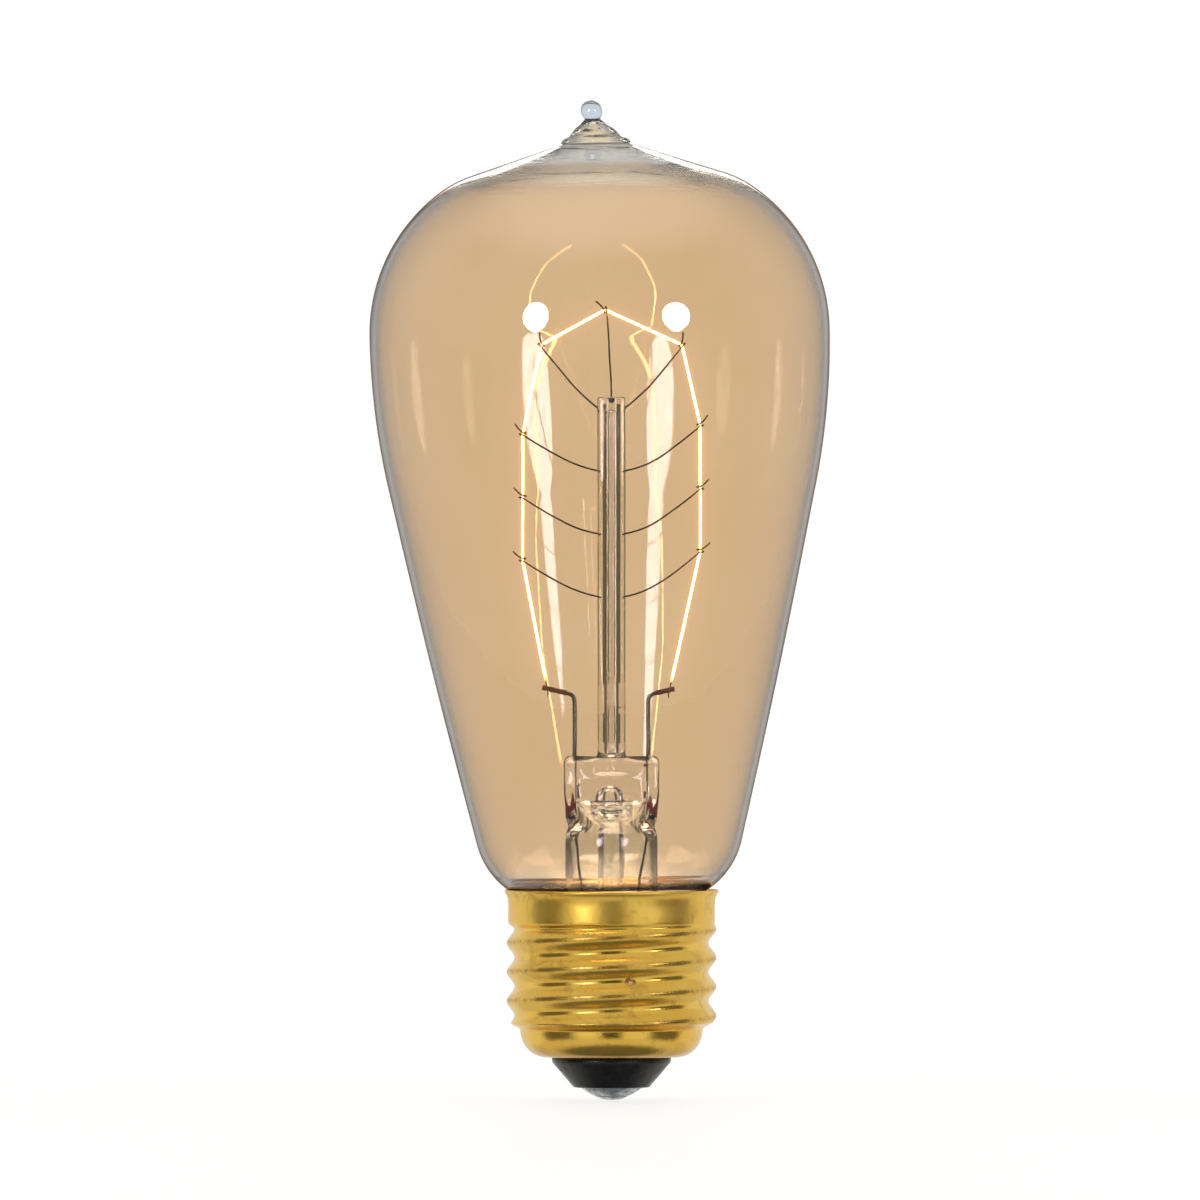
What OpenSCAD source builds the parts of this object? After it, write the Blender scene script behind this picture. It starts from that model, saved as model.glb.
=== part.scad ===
// Antique-style incandescent lamp with a drawn glass tip, a single looped filament and a medium screw cap.
// Millimetres. +Z runs up the cap's axis, and the origin is the lowest point of the centre contact.
// The filament loop lies in the XZ plane, and the lamp is seen from -Y.

/* [Glass bulb] */
// Overall length, from the centre contact to the top of the glass tip
overall_len = 125; // [122:0.5:130]
// Largest outside diameter of the glass
bulb_d = 57.6; // [54:0.2:62]
// Thickness of the blown glass
glass_wall = 0.7; // [0.5:0.05:1]
// Outside diameter of the neck that goes into the cap
neck_d = 22.4; // [21.4:0.1:22.6]
// Slope of the long tapering side, in degrees from the axis
taper = 12.9; // [12:0.1:14]
// Radius of the long curve below the widest place
side_r = 92; // [80:1:105]
// Radius of the curve just above the widest place
shoulder_r = 22; // [20:0.5:24]
// Radius of the curve that turns into the crown
crown_r = 14; // [12:0.5:16]
// Slope of the crown round the tip, in degrees from level
crown_slope = 18; // [15:0.5:21]
// Radius of the curve that turns the side in to the neck
knuckle_r = 10; // [8.5:0.25:11]
// Height of the drawn tip above the crown
tip_h = 5.9; // [5.2:0.1:7]
// Diameter of the tip's foot
tip_foot_d = 11; // [9:0.2:13]
// Diameter of the bead on the tip
bead_d = 2.7; // [2.2:0.1:3.2]
// How far the glass leans to the left of the cap's axis, in degrees
lean = 1.1; // [0:0.1:1.5]

/* [Screw cap] */
// Diameter over the thread crests
thread_d = 26.2; // [26:0.05:26.4]
// Depth of the rolled thread
thread_depth = 0.95; // [0.7:0.05:1.1]
// Distance from one thread crest to the next
thread_pitch = 3.629; // [3.4:0.001:3.8]
// Thickness of the brass
shell_wall = 0.25; // [0.2:0.01:0.3]
// Height of the brass shell
shell_h = 20.9; // [20:0.1:23]
// Diameter of the plain band above the thread
collar_d = 25.8; // [25.6:0.05:26]
// Height of the plain band and the rim
collar_h = 5; // [4:0.1:5.5]
// Diameter of the turned-out rim
rim_d = 26.8; // [26.4:0.1:27.4]
// Diameter of the narrowed end below the thread
shell_end_d = 22.8; // [22:0.1:23.4]
// Height of that narrowed end
shell_end_h = 3.4; // [3:0.1:4]
// Diameter of the hole in the bottom of the shell
shell_hole_d = 14; // [13:0.1:14.4]
// Diameter of the black glass where it meets the shell
insulator_d = 14.9; // [14.6:0.1:16]
// Diameter of the black glass at its lower face
insulator_tip_d = 9.7; // [9:0.1:11]
// Height of the black glass that shows under the shell
insulator_h = 3.8; // [3.2:0.1:4.6]
// Diameter of the domed centre contact
contact_d = 7.8; // [7:0.1:8.6]
// Height of the centre contact
contact_h = 1.6; // [1.2:0.1:2]
// Height of the ring of basing cement
cement_h = 5.2; // [4:0.1:6]

/* [Stem] */
// Outside diameter of the stem tube
stem_d = 11.7; // [11:0.1:12.4]
// Thickness of the stem tube
stem_wall = 0.8; // [0.6:0.05:1]
// Height of the stem, from the end of the neck to the top of the press
stem_h = 25.6; // [24:0.2:28]
// Width of the flat press
press_w = 12; // [11.4:0.1:13]
// Thickness of the flat press
press_t = 4; // [3.8:0.1:5]
// Height of the flat press
press_h = 7.4; // [6.6:0.1:8.4]
// Outside diameter of the exhaust tube
exhaust_d = 3.3; // [2.8:0.1:3.6]
// Outside diameter of the arbor, the glass cane that carries the supports
arbor_d = 3.5; // [3:0.1:3.7]
// Bore of the arbor
arbor_bore_d = 1.2; // [0.8:0.1:1.3]
// Height of the arbor above the press
arbor_h = 44.8; // [42:0.2:48]

/* [Wires] */
// Diameter of the filament's fine winding
filament_d = 0.44; // [0.3:0.02:0.6]
// Diameter of a support wire
support_d = 0.22; // [0.16:0.02:0.3]
// Diameter of an inner lead wire
lead_d = 0.56; // [0.44:0.02:0.7]
// Diameter of a copper-clad sealing wire
seal_wire_d = 0.4; // [0.3:0.02:0.42]
// Diameter of an outer lead wire
tail_d = 0.3; // [0.24:0.02:0.36]
// Distance of each lead from the axis
lead_x = 4.6; // [4.2:0.05:4.7]
// Height of the inner leads above the press
lead_h = 7.6; // [6.6:0.1:9]
// Distance from the left lead out to the filament leg that it holds
left_arm = 3.5; // [3:0.1:4]
// Distance from the right lead out to the filament leg that it holds
right_arm = 2.7; // [2.4:0.1:3.6]
// Rise of those arms, in degrees
arm_rise = 13; // [10:1:18]
// Half the width of the filament loop
loop_half_w = 11.1; // [10:0.1:12.4]
// Half the width of the loop at its two upper corners
loop_shoulder_half_w = 8.8; // [8:0.1:9.6]
// Depth of the lowest supports below the arbor's top
rung_drop = 24.9; // [24:0.1:26]
// Distance from one pair of supports to the next
rung_pitch = 7.85; // [7.5:0.05:8.2]
// How far the left hooks are above their roots in the arbor
left_rise = 4.6; // [4:0.1:6]
// How far the right hooks are above their roots in the arbor
right_rise = 5.7; // [5:0.1:7]
// How far the two upper corners are above their roots in the arbor
corner_rise = 7.85; // [7:0.05:9]
// Height of the loop's top above the arbor
top_rise = 10.9; // [10:0.1:12.5]

/* [Hidden] */
// Each support wire has a name, a side (-1 left, 0 the top, 1 right) and a rung counted from the lowest.
SUPPORTS = [
    ["support_left_1", -1, 0], ["support_left_2", -1, 1], ["support_left_3", -1, 2], ["support_left_4", -1, 3],
    ["support_top", 0, 4],
    ["support_right_4", 1, 3], ["support_right_3", 1, 2], ["support_right_2", 1, 1], ["support_right_1", 1, 0]];
$fn = 64;

step_deg = 4;            // step along an outline's arcs
seal_gap = 0.01;         // round a wire that glass is sealed on
fit_gap = 0.05;          // between the cap's loosely fitted pieces
neck_in = 8.8;           // length of the stem and neck inside the rim
neck_fillet_r = 2;       // hollow curve where the neck meets the bulb
glass_above_rim = 6;     // height above the rim where the glass starts to turn in, if it is clear of the rim there
rim_clearance = 0.4;     // smallest distance from the glass to the rim
corner_r = 8.3;          // where the shell's flat bottom starts to turn up
rim_h = 1.7;             // height of the rim
runout = 1;              // length over which the thread fades out at each end
crest_rise = 10.6;       // height of one thread crest above the shell's lower edge, on the -X side
shell_sides = 44;
rows_per_pitch = 8;
cement_down = 1.3;       // top of the cement below the rim
insulator_lip = 0.7;     // upright edge of the black glass under the shell
insulator_bead = 1.5;    // height of the black glass inside the shell
insulator_hole_d = 3;
contact_inset = 0.7;     // depth of the contact's edge in the black glass
plate_t = 0.35;          // sheet thickness of the centre contact
plate_hole_r = 0.8;
solder_r = 1.9;          // outside of the solder on the contact
solder_flat_r = 1.1;
solder_h = 0.12;         // height of the solder below the contact's dome
solder_inner_r = 1.3;
solder_pit_z = 0.4;      // end of the lead in the solder
exhaust_wall = 0.6;
exhaust_hole_d = 3;
exhaust_end_h = 4.6;     // height of the melted-off exhaust end above the shell's lower edge
rim_land = 0.3;          // flat part of the stem's rim inside the neck
press_edge_r = 1.3;      // rounded edges of the press
arbor_sunk = 1.6;        // depth of the arbor in the press
arbor_cap = 1.6;         // solid glass at the arbor's top
root_depth = 0.8;        // depth of a support wire in the arbor
root_slope = 10;         // slope of a side support where it leaves the arbor, in degrees
corner_slope = 38;       // the same for the two upper supports
corner_root_drop = 1.35; // roots of the two upper supports below the arbor's top
top_x = -0.8;            // the loop's top is a little to the left
hook_gap = 0.06;         // between the filament and a hook
hook_pitch = 0.34;       // rise of a hook's one turn
hook_tail = 0.9;
hook_tail_slope = 24;
seal_share = 0.55;       // share of the press that the sealing wires cross
wire_below_press = 0.6;
lead_bend_r = 0.9;
lead_stop = 0.45;        // a lead ends this far short of the filament leg
filament_bend_r = 0.25;
clamp_d = 0.86;          // a clamp's width, and its thickness after crimping
clamp_t = 0.66;
clamp_start = 0.95;      // a clamp starts this far from its lead's bend
clamp_over = 0.65;       // and ends this far beyond the filament leg
leg_d = 0.16;            // straight filament leg held by a clamp
leg_tail = 0.7;          // what shows of it under the clamp
leg_top = 0.35;          // and above the clamp, before the winding starts
weld_d = 1.3;
weld_turn = 281;         // the weld's place round the shell, counted from +X
weld_rise = 9.6;         // its height above the shell's lower edge
weld_proud = 0.3;

// Heights, from the contact upwards.
insulator_z = contact_h;
shell_z = insulator_z + insulator_h;
rim_z = shell_z + shell_h;
collar_z = rim_z - collar_h;
neck_z = rim_z - neck_in;
seal_z = neck_z + stem_wall;
press_top = neck_z + stem_h;
press_z = press_top - press_h;
arbor_top = press_top + arbor_h;

function unit(v) = v / norm(v);
function polar(c, r, a) = c + r * [cos(a), sin(a)];
function backwards(p) = [for (i = [len(p) - 1:-1:0]) p[i]];
function after_first(p) = [for (i = [1:len(p) - 1]) p[i]];

// Points on an arc of radius r round c, from angle a to angle b.
function arc(c, r, a, b) =
    let (n = max(2, ceil(abs(b - a) / step_deg)))
    [for (i = [0:n]) polar(c, r, a + (b - a) * i / n)];

// Point at share t along the cubic curve with the four handles p.
function on_curve(p, t) =
    pow(1 - t, 3) * p[0] + 3 * t * pow(1 - t, 2) * p[1] + 3 * t * t * (1 - t) * p[2] + t * t * t * p[3];
function curve(p, n) = [for (i = [0:n]) on_curve(p, i / n)];

// A smooth step from 0 to 1.
function ease(t) = let (u = min(1, max(0, t))) u * u * (3 - 2 * u);

// A wire swept along a path. Its diameter is one number, or one for each point of the path.
function way_at(p, i) =
    i == 0 ? unit(p[1] - p[0])
    : i == len(p) - 1 ? unit(p[i] - p[i - 1])
    : unit(unit(p[i + 1] - p[i]) + unit(p[i] - p[i - 1]));
function carried(n, way) = unit(n - (n * way) * way);
function d_at(d, i) = is_list(d) ? d[i] : d;

module wire(path, d, sides = 6) {
    count = len(path);
    ways = [for (i = [0:count - 1]) way_at(path, i)];
    across = unit(cross(ways[0], abs(ways[0][1]) < 0.9 ? [0, 1, 0] : [1, 0, 0]));
    normals = [for (i = 0, n = across; i < count; i = i + 1, n = i < count ? carried(n, ways[i]) : n) n];
    points = [for (i = [0:count - 1], k = [0:sides - 1])
        let (a = 360 * k / sides)
        path[i] + d_at(d, i) / 2 * (cos(a) * normals[i] + sin(a) * cross(ways[i], normals[i]))];
    skin = [for (i = [0:count - 2], k = [0:sides - 1])
        let (a = i * sides + k, b = i * sides + (k + 1) % sides)
        each [[a, a + sides, b + sides], [a, b + sides, b]]];
    start = [for (k = [0:sides - 1]) k];
    end = [for (k = [sides - 1:-1:0]) (count - 1) * sides + k];
    polyhedron(points, concat(skin, [start, end]));
}

// A path with each corner replaced by a short curve that starts r before it.
function rounded(p, r, n = 3) = concat(
    [p[0]],
    [for (i = [1:len(p) - 2])
        let (a = p[i] + r * unit(p[i - 1] - p[i]), b = p[i] + r * unit(p[i + 1] - p[i]))
        for (k = [0:n]) pow(1 - k / n, 2) * a + 2 * (1 - k / n) * k / n * p[i] + pow(k / n, 2) * b],
    [p[len(p) - 1]]);

// A smooth path through the points of a list.
function through(p, n = 4) = concat(
    [for (i = [0:len(p) - 2], k = [0:n - 1])
        let (before = p[max(0, i - 1)], after = p[min(len(p) - 1, i + 2)])
        on_curve([p[i], p[i] + (p[i + 1] - before) / 6, p[i + 1] - (after - p[i]) / 6, p[i + 1]], k / n)],
    [p[len(p) - 1]]);

// The bulb's outline, as [radius, height] from the neck up to the tip, inset by w.
bulb_r = bulb_d / 2;
neck_r = neck_d / 2;
tip_foot_r = tip_foot_d / 2;
shoulder_turn = 54;
crown_turn = 90 - crown_slope;
crown_rise = (shoulder_r - crown_r) * sin(shoulder_turn) + crown_r * sin(crown_turn);
crown_end_r = bulb_r - shoulder_r + (shoulder_r - crown_r) * cos(shoulder_turn) + crown_r * cos(crown_turn);
foot_z = overall_len - tip_h;
equator_z = foot_z - (crown_end_r - tip_foot_r) * tan(crown_slope) - crown_rise;
side_centre = [bulb_r - side_r, equator_z];
shoulder_centre = [bulb_r - shoulder_r, equator_z];
crown_centre = polar(shoulder_centre, shoulder_r - crown_r, shoulder_turn);
side_end = polar(side_centre, side_r, -taper);
side_down = [-sin(taper), -cos(taper)];
rim_from_side = [rim_d / 2, rim_z] - side_end - knuckle_r * [-cos(taper), sin(taper)];
rim_across = rim_from_side * [cos(taper), -sin(taper)];
rim_along = rim_from_side * side_down;
knuckle_reach = knuckle_r + rim_clearance;
straight_len = min((side_end[1] - rim_z - glass_above_rim) / cos(taper),
                   rim_along - sqrt(max(0, knuckle_reach * knuckle_reach - rim_across * rim_across)));
knuckle_start = side_end + straight_len * side_down;
knuckle_centre = knuckle_start + knuckle_r * [-cos(taper), sin(taper)];
knuckle_turn = acos((neck_r + neck_fillet_r - knuckle_centre[0]) / (knuckle_r + neck_fillet_r));
fillet_centre = [neck_r + neck_fillet_r, knuckle_centre[1] - (knuckle_r + neck_fillet_r) * sin(knuckle_turn)];

function foot_at(w) = foot_z - w / cos(crown_slope);

function bulb_outline(w) = concat(
    [[neck_r - w, neck_z - 1]],
    arc(fillet_centre, neck_fillet_r + w, 180, 180 - knuckle_turn),
    arc(knuckle_centre, knuckle_r - w, step_deg - knuckle_turn, -taper),
    arc(side_centre, side_r - w, -taper, 0),
    arc(shoulder_centre, shoulder_r - w, step_deg, shoulder_turn),
    arc(crown_centre, crown_r - w, shoulder_turn + step_deg, crown_turn),
    [[tip_foot_r, foot_at(w)]]);

// The blown glass leans about the place where its neck is sealed to the stem.
module leaning() {
    translate([0, 0, seal_z])
        rotate([0, -lean, 0])
            translate([0, 0, -seal_z])
                children();
}

module envelope() {
    color("burlywood", 0.35)
        difference() {
            leaning()
                rotate_extrude()
                    polygon(concat(bulb_outline(0), backwards(bulb_outline(glass_wall))));
            translate([0, 0, seal_z - 4])
                cylinder(d = 2 * neck_d, h = 4);
        }
}

// The drawn tip: a hollow cone with faint rings, closed by a bead.
bead_r = bead_d / 2;
bead_neck_r = 0.7 * bead_r;
bead_z = overall_len - bead_r;
bead_foot_z = bead_z - sqrt(bead_r * bead_r - bead_neck_r * bead_neck_r);
ring_depth = 0.06;
rings = 3;
tip_steps = 24;

module tip_seal() {
    outside = curve([[tip_foot_r, foot_z], [0.84 * tip_foot_r, foot_z + 0.05 * tip_h],
                     [0.47 * tip_foot_r, foot_z + 0.35 * tip_h], [bead_neck_r, bead_foot_z]], tip_steps);
    ringed = [for (i = [0:tip_steps])
        outside[i] + [ring_depth * sin(360 * rings * i / tip_steps) * sin(180 * i / tip_steps), 0]];
    bead = arc([0, bead_z], bead_r, step_deg - acos(bead_neck_r / bead_r), 90 - step_deg);
    inside = curve([[0, foot_z + 0.38 * tip_h], [0.22 * tip_foot_r, foot_z + 0.08 * tip_h],
                    [0.76 * tip_foot_r, foot_at(glass_wall) + 0.06 * tip_h],
                    [tip_foot_r, foot_at(glass_wall)]], tip_steps / 2);
    color("lightsteelblue", 0.5)
        leaning()
            rotate_extrude()
                polygon(concat(ringed, bead, [[0, overall_len]], inside));
}

// The stem: a trumpet sealed to the neck, a tube, and the flat press that holds the wires.
stem_r = stem_d / 2;
land_r = neck_r - glass_wall - rim_land;
flare_r = land_r - stem_r;
seal_top = press_z + seal_share * press_h;
seal_bottom = press_z - 2 * stem_wall - wire_below_press;
exhaust_r = exhaust_d / 2;
exhaust_top = press_z + 0.2;
exhaust_hole_z = exhaust_top + exhaust_hole_d / 2;
arbor_r = arbor_d / 2;
press_dome_r = 4 * press_w;

// The trumpet and tube as a solid inset by w.
module stem_body(w) {
    bend = arc([land_r, seal_z + flare_r], flare_r + w, 180, 270);
    rim = w > 0 ? [[land_r, neck_z - 1], [0, neck_z - 1]]
                : [[neck_r, seal_z], [neck_r, neck_z], [0, neck_z]];
    rotate_extrude()
        polygon(concat([[0, press_z - 2 * w], [stem_r - w, press_z - 2 * w]], bend, rim));
}

// The space left between the pressing jaws, inset by w: the tube's full width below, the press's thickness above.
module between_jaws(w) {
    half = press_t / 2;
    side = curve([[stem_r + 1 - w, press_z - 6], [stem_r - w, press_z - 3.4 - w],
                  [half + 0.4 - w, press_z - 3 - w], [half - w, press_z - 1]], 10);
    outline = concat([[neck_r + 1, neck_z - 2], [neck_r + 1, press_z - 6]], side, [[half - w, press_top]]);
    rotate([90, 0, 90])
        translate([0, 0, -neck_d])
            linear_extrude(2 * neck_d)
                polygon(concat(outline, [for (p = backwards(outline)) [-p[0], p[1]]]));
}

module press_section() {
    square([press_w - 2 * press_edge_r, press_t], center = true);
    square([press_w, press_t - 2 * press_edge_r], center = true);
    for (x = [-1, 1], y = [-1, 1])
        translate([x * (press_w / 2 - press_edge_r), y * (press_t / 2 - press_edge_r)])
            circle(press_edge_r);
}

module press_block() {
    intersection() {
        translate([0, 0, press_z - 1])
            linear_extrude(press_h + 1)
                press_section();
        translate([0, press_w / 2, press_top - press_dome_r])
            rotate([90, 0, 0])
                cylinder(r = press_dome_r, h = press_w);
    }
}

module stem_flare() {
    color("lightsteelblue", 0.5)
        difference() {
            union() {
                intersection() {
                    stem_body(0);
                    between_jaws(0);
                }
                press_block();
            }
            intersection() {
                stem_body(stem_wall);
                between_jaws(stem_wall);
            }
            for (side = [-1, 1])
                translate([side * lead_x, 0, seal_bottom])
                    cylinder(d = seal_wire_d + 2 * seal_gap, h = seal_top - seal_bottom);
            for (side = [-1, 1])
                translate([side * lead_x, 0, seal_top])
                    cylinder(d = lead_d + 2 * seal_gap, h = press_h);
            translate([0, 0, seal_bottom])
                cylinder(d = exhaust_d, h = exhaust_hole_z - seal_bottom);
            translate([0, 0, exhaust_hole_z])
                rotate([90, 0, 0])
                    cylinder(d = exhaust_hole_d, h = press_t);
            translate([0, 0, press_top - arbor_sunk])
                cylinder(d = arbor_d, h = 2 * arbor_sunk);
        }
}

// The exhaust tube reaches up to the blown hole in the front of the press, and is melted shut inside the cap.
module exhaust_tube() {
    bore_r = exhaust_r - exhaust_wall;
    end_z = shell_z + exhaust_end_h;
    color("lightsteelblue", 0.5)
        rotate_extrude()
            polygon(concat(
                [[bore_r, exhaust_top], [exhaust_r, exhaust_top]],
                backwards(arc([0, end_z + exhaust_r], exhaust_r, -90, 0)),
                arc([0, end_z + exhaust_r + exhaust_wall], bore_r, -90, 0)));
}

// Each support wire starts in a seat in the arbor and ends at a hook round the filament.
function is_corner(s) = s[1] != 0 && s[2] == 3;
function support_root(s) =
    s[1] == 0 ? [0, 0, arbor_top]
    : is_corner(s) ? [s[1] * arbor_r, 0, arbor_top - corner_root_drop]
    : [s[1] * arbor_r, 0, arbor_top - rung_drop + s[2] * rung_pitch];
function support_way(s) =
    let (slope = s[1] == 0 ? 90 : is_corner(s) ? corner_slope : root_slope)
    [s[1] * cos(slope), 0, sin(slope)];
function hook_at(s) =
    s[1] == 0 ? [top_x, 0, arbor_top + top_rise]
    : is_corner(s) ? [s[1] * loop_shoulder_half_w, 0, support_root(s)[2] + corner_rise]
    : [s[1] * loop_half_w, 0, support_root(s)[2] + (s[1] < 0 ? left_rise : right_rise)];

module arbor() {
    color("lightsteelblue", 0.5)
        difference() {
            translate([0, 0, press_top - arbor_sunk])
                cylinder(r = arbor_r, h = arbor_h + arbor_sunk);
            translate([0, 0, press_top - 2 * arbor_sunk])
                cylinder(d = arbor_bore_d, h = arbor_h + 2 * arbor_sunk - arbor_cap);
            for (s = SUPPORTS)
                let (way = support_way(s))
                    translate(support_root(s) - root_depth * way)
                        rotate([0, atan2(way[0], way[2]), 0])
                            cylinder(d = support_d + 2 * seal_gap, h = 2 * root_depth);
        }
}

// The filament loop runs from the left clamp over the hooks to the right clamp.
function arm_way(side) = [side * cos(arm_rise), 0, sin(arm_rise)];
function arm_len(side) = side < 0 ? left_arm : right_arm;
function arm_start(side) = [side * lead_x, 0, press_top + lead_h];
function leg_at(side) = arm_start(side) + arm_len(side) * arm_way(side);
hooks = [for (s = SUPPORTS) hook_at(s)];
stops = concat([leg_at(-1)], hooks, [leg_at(1)]);
function leg_way(side) = unit((side < 0 ? hooks[0] : hooks[len(hooks) - 1]) - leg_at(side));
function leg_point(side, far) = leg_at(side) + far * leg_way(side);

module filament() {
    under = -clamp_t / 2 - leg_tail;
    over = clamp_t / 2 + leg_top;
    start = over + filament_d / 2;
    winding = rounded(concat([leg_point(-1, start)], hooks, [leg_point(1, start)]), filament_bend_r);
    path = concat([leg_point(-1, under), leg_point(-1, over)], winding, [leg_point(1, over), leg_point(1, under)]);
    thick = concat([leg_d, leg_d], [for (p = winding) filament_d], [leg_d, leg_d]);
    color("orange")
        wire(path, thick, 8);
}

// A hook is one open turn round the filament, with a short tail that points away from the arbor.
module support_wire(i) {
    s = SUPPORTS[i];
    along = unit(unit(stops[i + 2] - stops[i + 1]) + unit(stops[i + 1] - stops[i]));
    up = s[1] < 0 ? along : -along;
    out = unit(cross(along, [0, 1, 0]));
    ring_r = filament_d / 2 + hook_gap + support_d / 2;
    ring = [for (a = [270:30:630])
        hooks[i] + ring_r * (cos(a) * out + sin(a) * [0, 1, 0]) + hook_pitch * ((a - 270) / 360 - 0.5) * up];
    root = support_root(s);
    knee = root + 0.3 * norm(ring[0] - root) * support_way(s);
    run = curve([root, knee, ring[0] - 0.6 * (ring[0] - knee), ring[0]], 9);
    tail = ring[len(ring) - 1] + hook_tail * (cos(hook_tail_slope) * out + sin(hook_tail_slope) * up);
    color("dimgray")
        wire(concat([root - root_depth * support_way(s)], run, after_first(ring), [tail]), support_d);
}

// An inner lead comes straight up out of the press and bends outwards into its clamp.
module lead(side) {
    color("darkseagreen")
        wire(rounded([[side * lead_x, 0, seal_top], arm_start(side),
                      leg_at(side) - lead_stop * arm_way(side)], lead_bend_r, 5), lead_d, 10);
}

module seal_wire(side) {
    color("indianred")
        translate([side * lead_x, 0, seal_bottom])
            cylinder(d = seal_wire_d, h = seal_top - seal_bottom);
}

// A crimped sleeve that joins a lead to the leg of the filament.
module clamp(side) {
    turn = [0, side * (90 - arm_rise), 0];
    leg = leg_way(side);
    color("rosybrown")
        difference() {
            translate(arm_start(side) + clamp_start * arm_way(side))
                rotate(turn)
                    linear_extrude(arm_len(side) + clamp_over - clamp_start)
                        intersection() {
                            circle(d = clamp_d);
                            square([clamp_t, clamp_d], center = true);
                        }
            translate(arm_start(side))
                rotate(turn)
                    cylinder(d = lead_d + 2 * seal_gap, h = arm_len(side) - lead_stop);
            translate(leg_at(side) - clamp_d * leg)
                rotate([0, atan2(leg[0], leg[2]), 0])
                    cylinder(d = leg_d + 2 * seal_gap, h = 2 * clamp_d);
        }
}

// The outer leads go down inside the stem, one to the centre contact and one to the shell.
module contact_lead() {
    color("peru")
        wire(through([[-lead_x, 0, seal_bottom], [0.3 - lead_x, 0, seal_bottom - 2], [-3.7, 0, seal_z + 8],
                      [-3.2, 0, seal_z], [-2.6, 0, shell_z + 7], [-0.4, 0, shell_z + 2.6],
                      [0, 0, shell_z], [0, 0, solder_pit_z]]), tail_d);
}

weld_way = [cos(weld_turn), sin(weld_turn), 0];
weld_z = shell_z + weld_rise;

module shell_lead() {
    inside_r = thread_r(weld_z, weld_turn) - shell_wall - fit_gap;
    color("peru")
        wire(through([[lead_x, 0, seal_bottom], [lead_x - 0.4, 0, seal_bottom - 2], [3.3, 0, seal_z + 8],
                      [3.4, -0.4, seal_z + 2], [3.2, -3, neck_z - 1.2],
                      0.72 * inside_r * weld_way + [0, 0, weld_z + 0.5],
                      inside_r * weld_way + [0, 0, weld_z]]), tail_d);
}

// The shell's outline, inset by w, as [radius, height] from the hole in its bottom up to the rim.
thread_mid_r = (thread_d - thread_depth) / 2;
collar_r = collar_d / 2;
rim_r = rim_d / 2;
end_r = shell_end_d / 2;
thread_z = shell_z + shell_end_h;
thread_len = collar_z + runout - thread_z;
thread_rows = round(rows_per_pitch * thread_len / thread_pitch);

function thread_r(z, turn) =
    let (low = ease((z - thread_z) / runout), high = ease((z - collar_z) / runout),
         wave = cos(360 * (z - shell_z - crest_rise) / thread_pitch - (turn - 180)))
    (end_r * (1 - low) + (thread_mid_r + thread_depth / 2 * wave) * low) * (1 - high) + collar_r * high;

function shell_side(w, turn) = concat(
    [[shell_hole_d / 2, shell_z + w]],
    [for (a = [-90:18:0])
        [corner_r + (end_r - corner_r - w) * cos(a), thread_z + (shell_end_h - w) * sin(a)]],
    [for (i = [1:thread_rows])
        let (z = thread_z + thread_len * i / thread_rows)
        [thread_r(z, turn) - w, z]],
    curve([[collar_r - w, rim_z - 1.2 * rim_h], [collar_r - w, rim_z - 0.9 * rim_h],
           [rim_r - w, rim_z - 0.9 * rim_h], [rim_r - w, rim_z - 0.5 * rim_h]], 4),
    [[rim_r - w, rim_z]]);

module screw_shell() {
    loops = [for (i = [0:shell_sides - 1])
        let (turn = 360 * i / shell_sides)
        concat(shell_side(0, turn), backwards(shell_side(shell_wall, turn)))];
    n = len(loops[0]);
    points = [for (i = [0:shell_sides - 1], p = loops[i])
        let (turn = 360 * i / shell_sides)
        [p[0] * cos(turn), p[0] * sin(turn), p[1]]];
    skin = [for (i = [0:shell_sides - 1], j = [0:n - 1])
        let (next = (i + 1) % shell_sides, k = (j + 1) % n)
        each [[i * n + j, i * n + k, next * n + k], [i * n + j, next * n + k, next * n + j]]];
    color("goldenrod")
        polyhedron(points, skin);
}

// A spot weld through the shell, in the groove of the thread.
module shell_weld() {
    depth = shell_wall + fit_gap;
    cap_r = (weld_d * weld_d / 4 + weld_proud * weld_proud) / (2 * weld_proud);
    color("darkkhaki")
        rotate([0, 0, weld_turn])
            translate([thread_r(weld_z, weld_turn) - depth, 0, weld_z])
                rotate([0, 90, 0])
                    rotate_extrude()
                        polygon(concat([[0, 0], [weld_d / 2, 0]],
                                       arc([0, depth + weld_proud - cap_r], cap_r, acos(weld_d / 2 / cap_r), 90)));
}

// Cement fills the ring between the neck and the shell, from just under the rim down to the thread.
cement_r = (collar_r - shell_wall) * cos(180 / shell_sides) - fit_gap;
cement_low_r = (thread_d / 2 - thread_depth - shell_wall) * cos(180 / shell_sides) - fit_gap;

module basing_cement() {
    top_z = rim_z - cement_down;
    low_z = top_z - cement_h;
    step_z = collar_z + runout;
    color("tan")
        difference() {
            rotate_extrude()
                polygon([[0, low_z], [cement_low_r, low_z], [cement_low_r, step_z],
                         [cement_r, step_z], [cement_r, top_z], [0, top_z]]);
            leaning()
                rotate_extrude()
                    polygon(concat([[0, neck_z - 1]], bulb_outline(0), [[0, foot_z]]));
        }
}

// The black glass is moulded through the hole in the shell's bottom and holds the contact's edge.
recess_z = insulator_z + contact_inset;
floor_z = shell_z + shell_wall;

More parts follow.
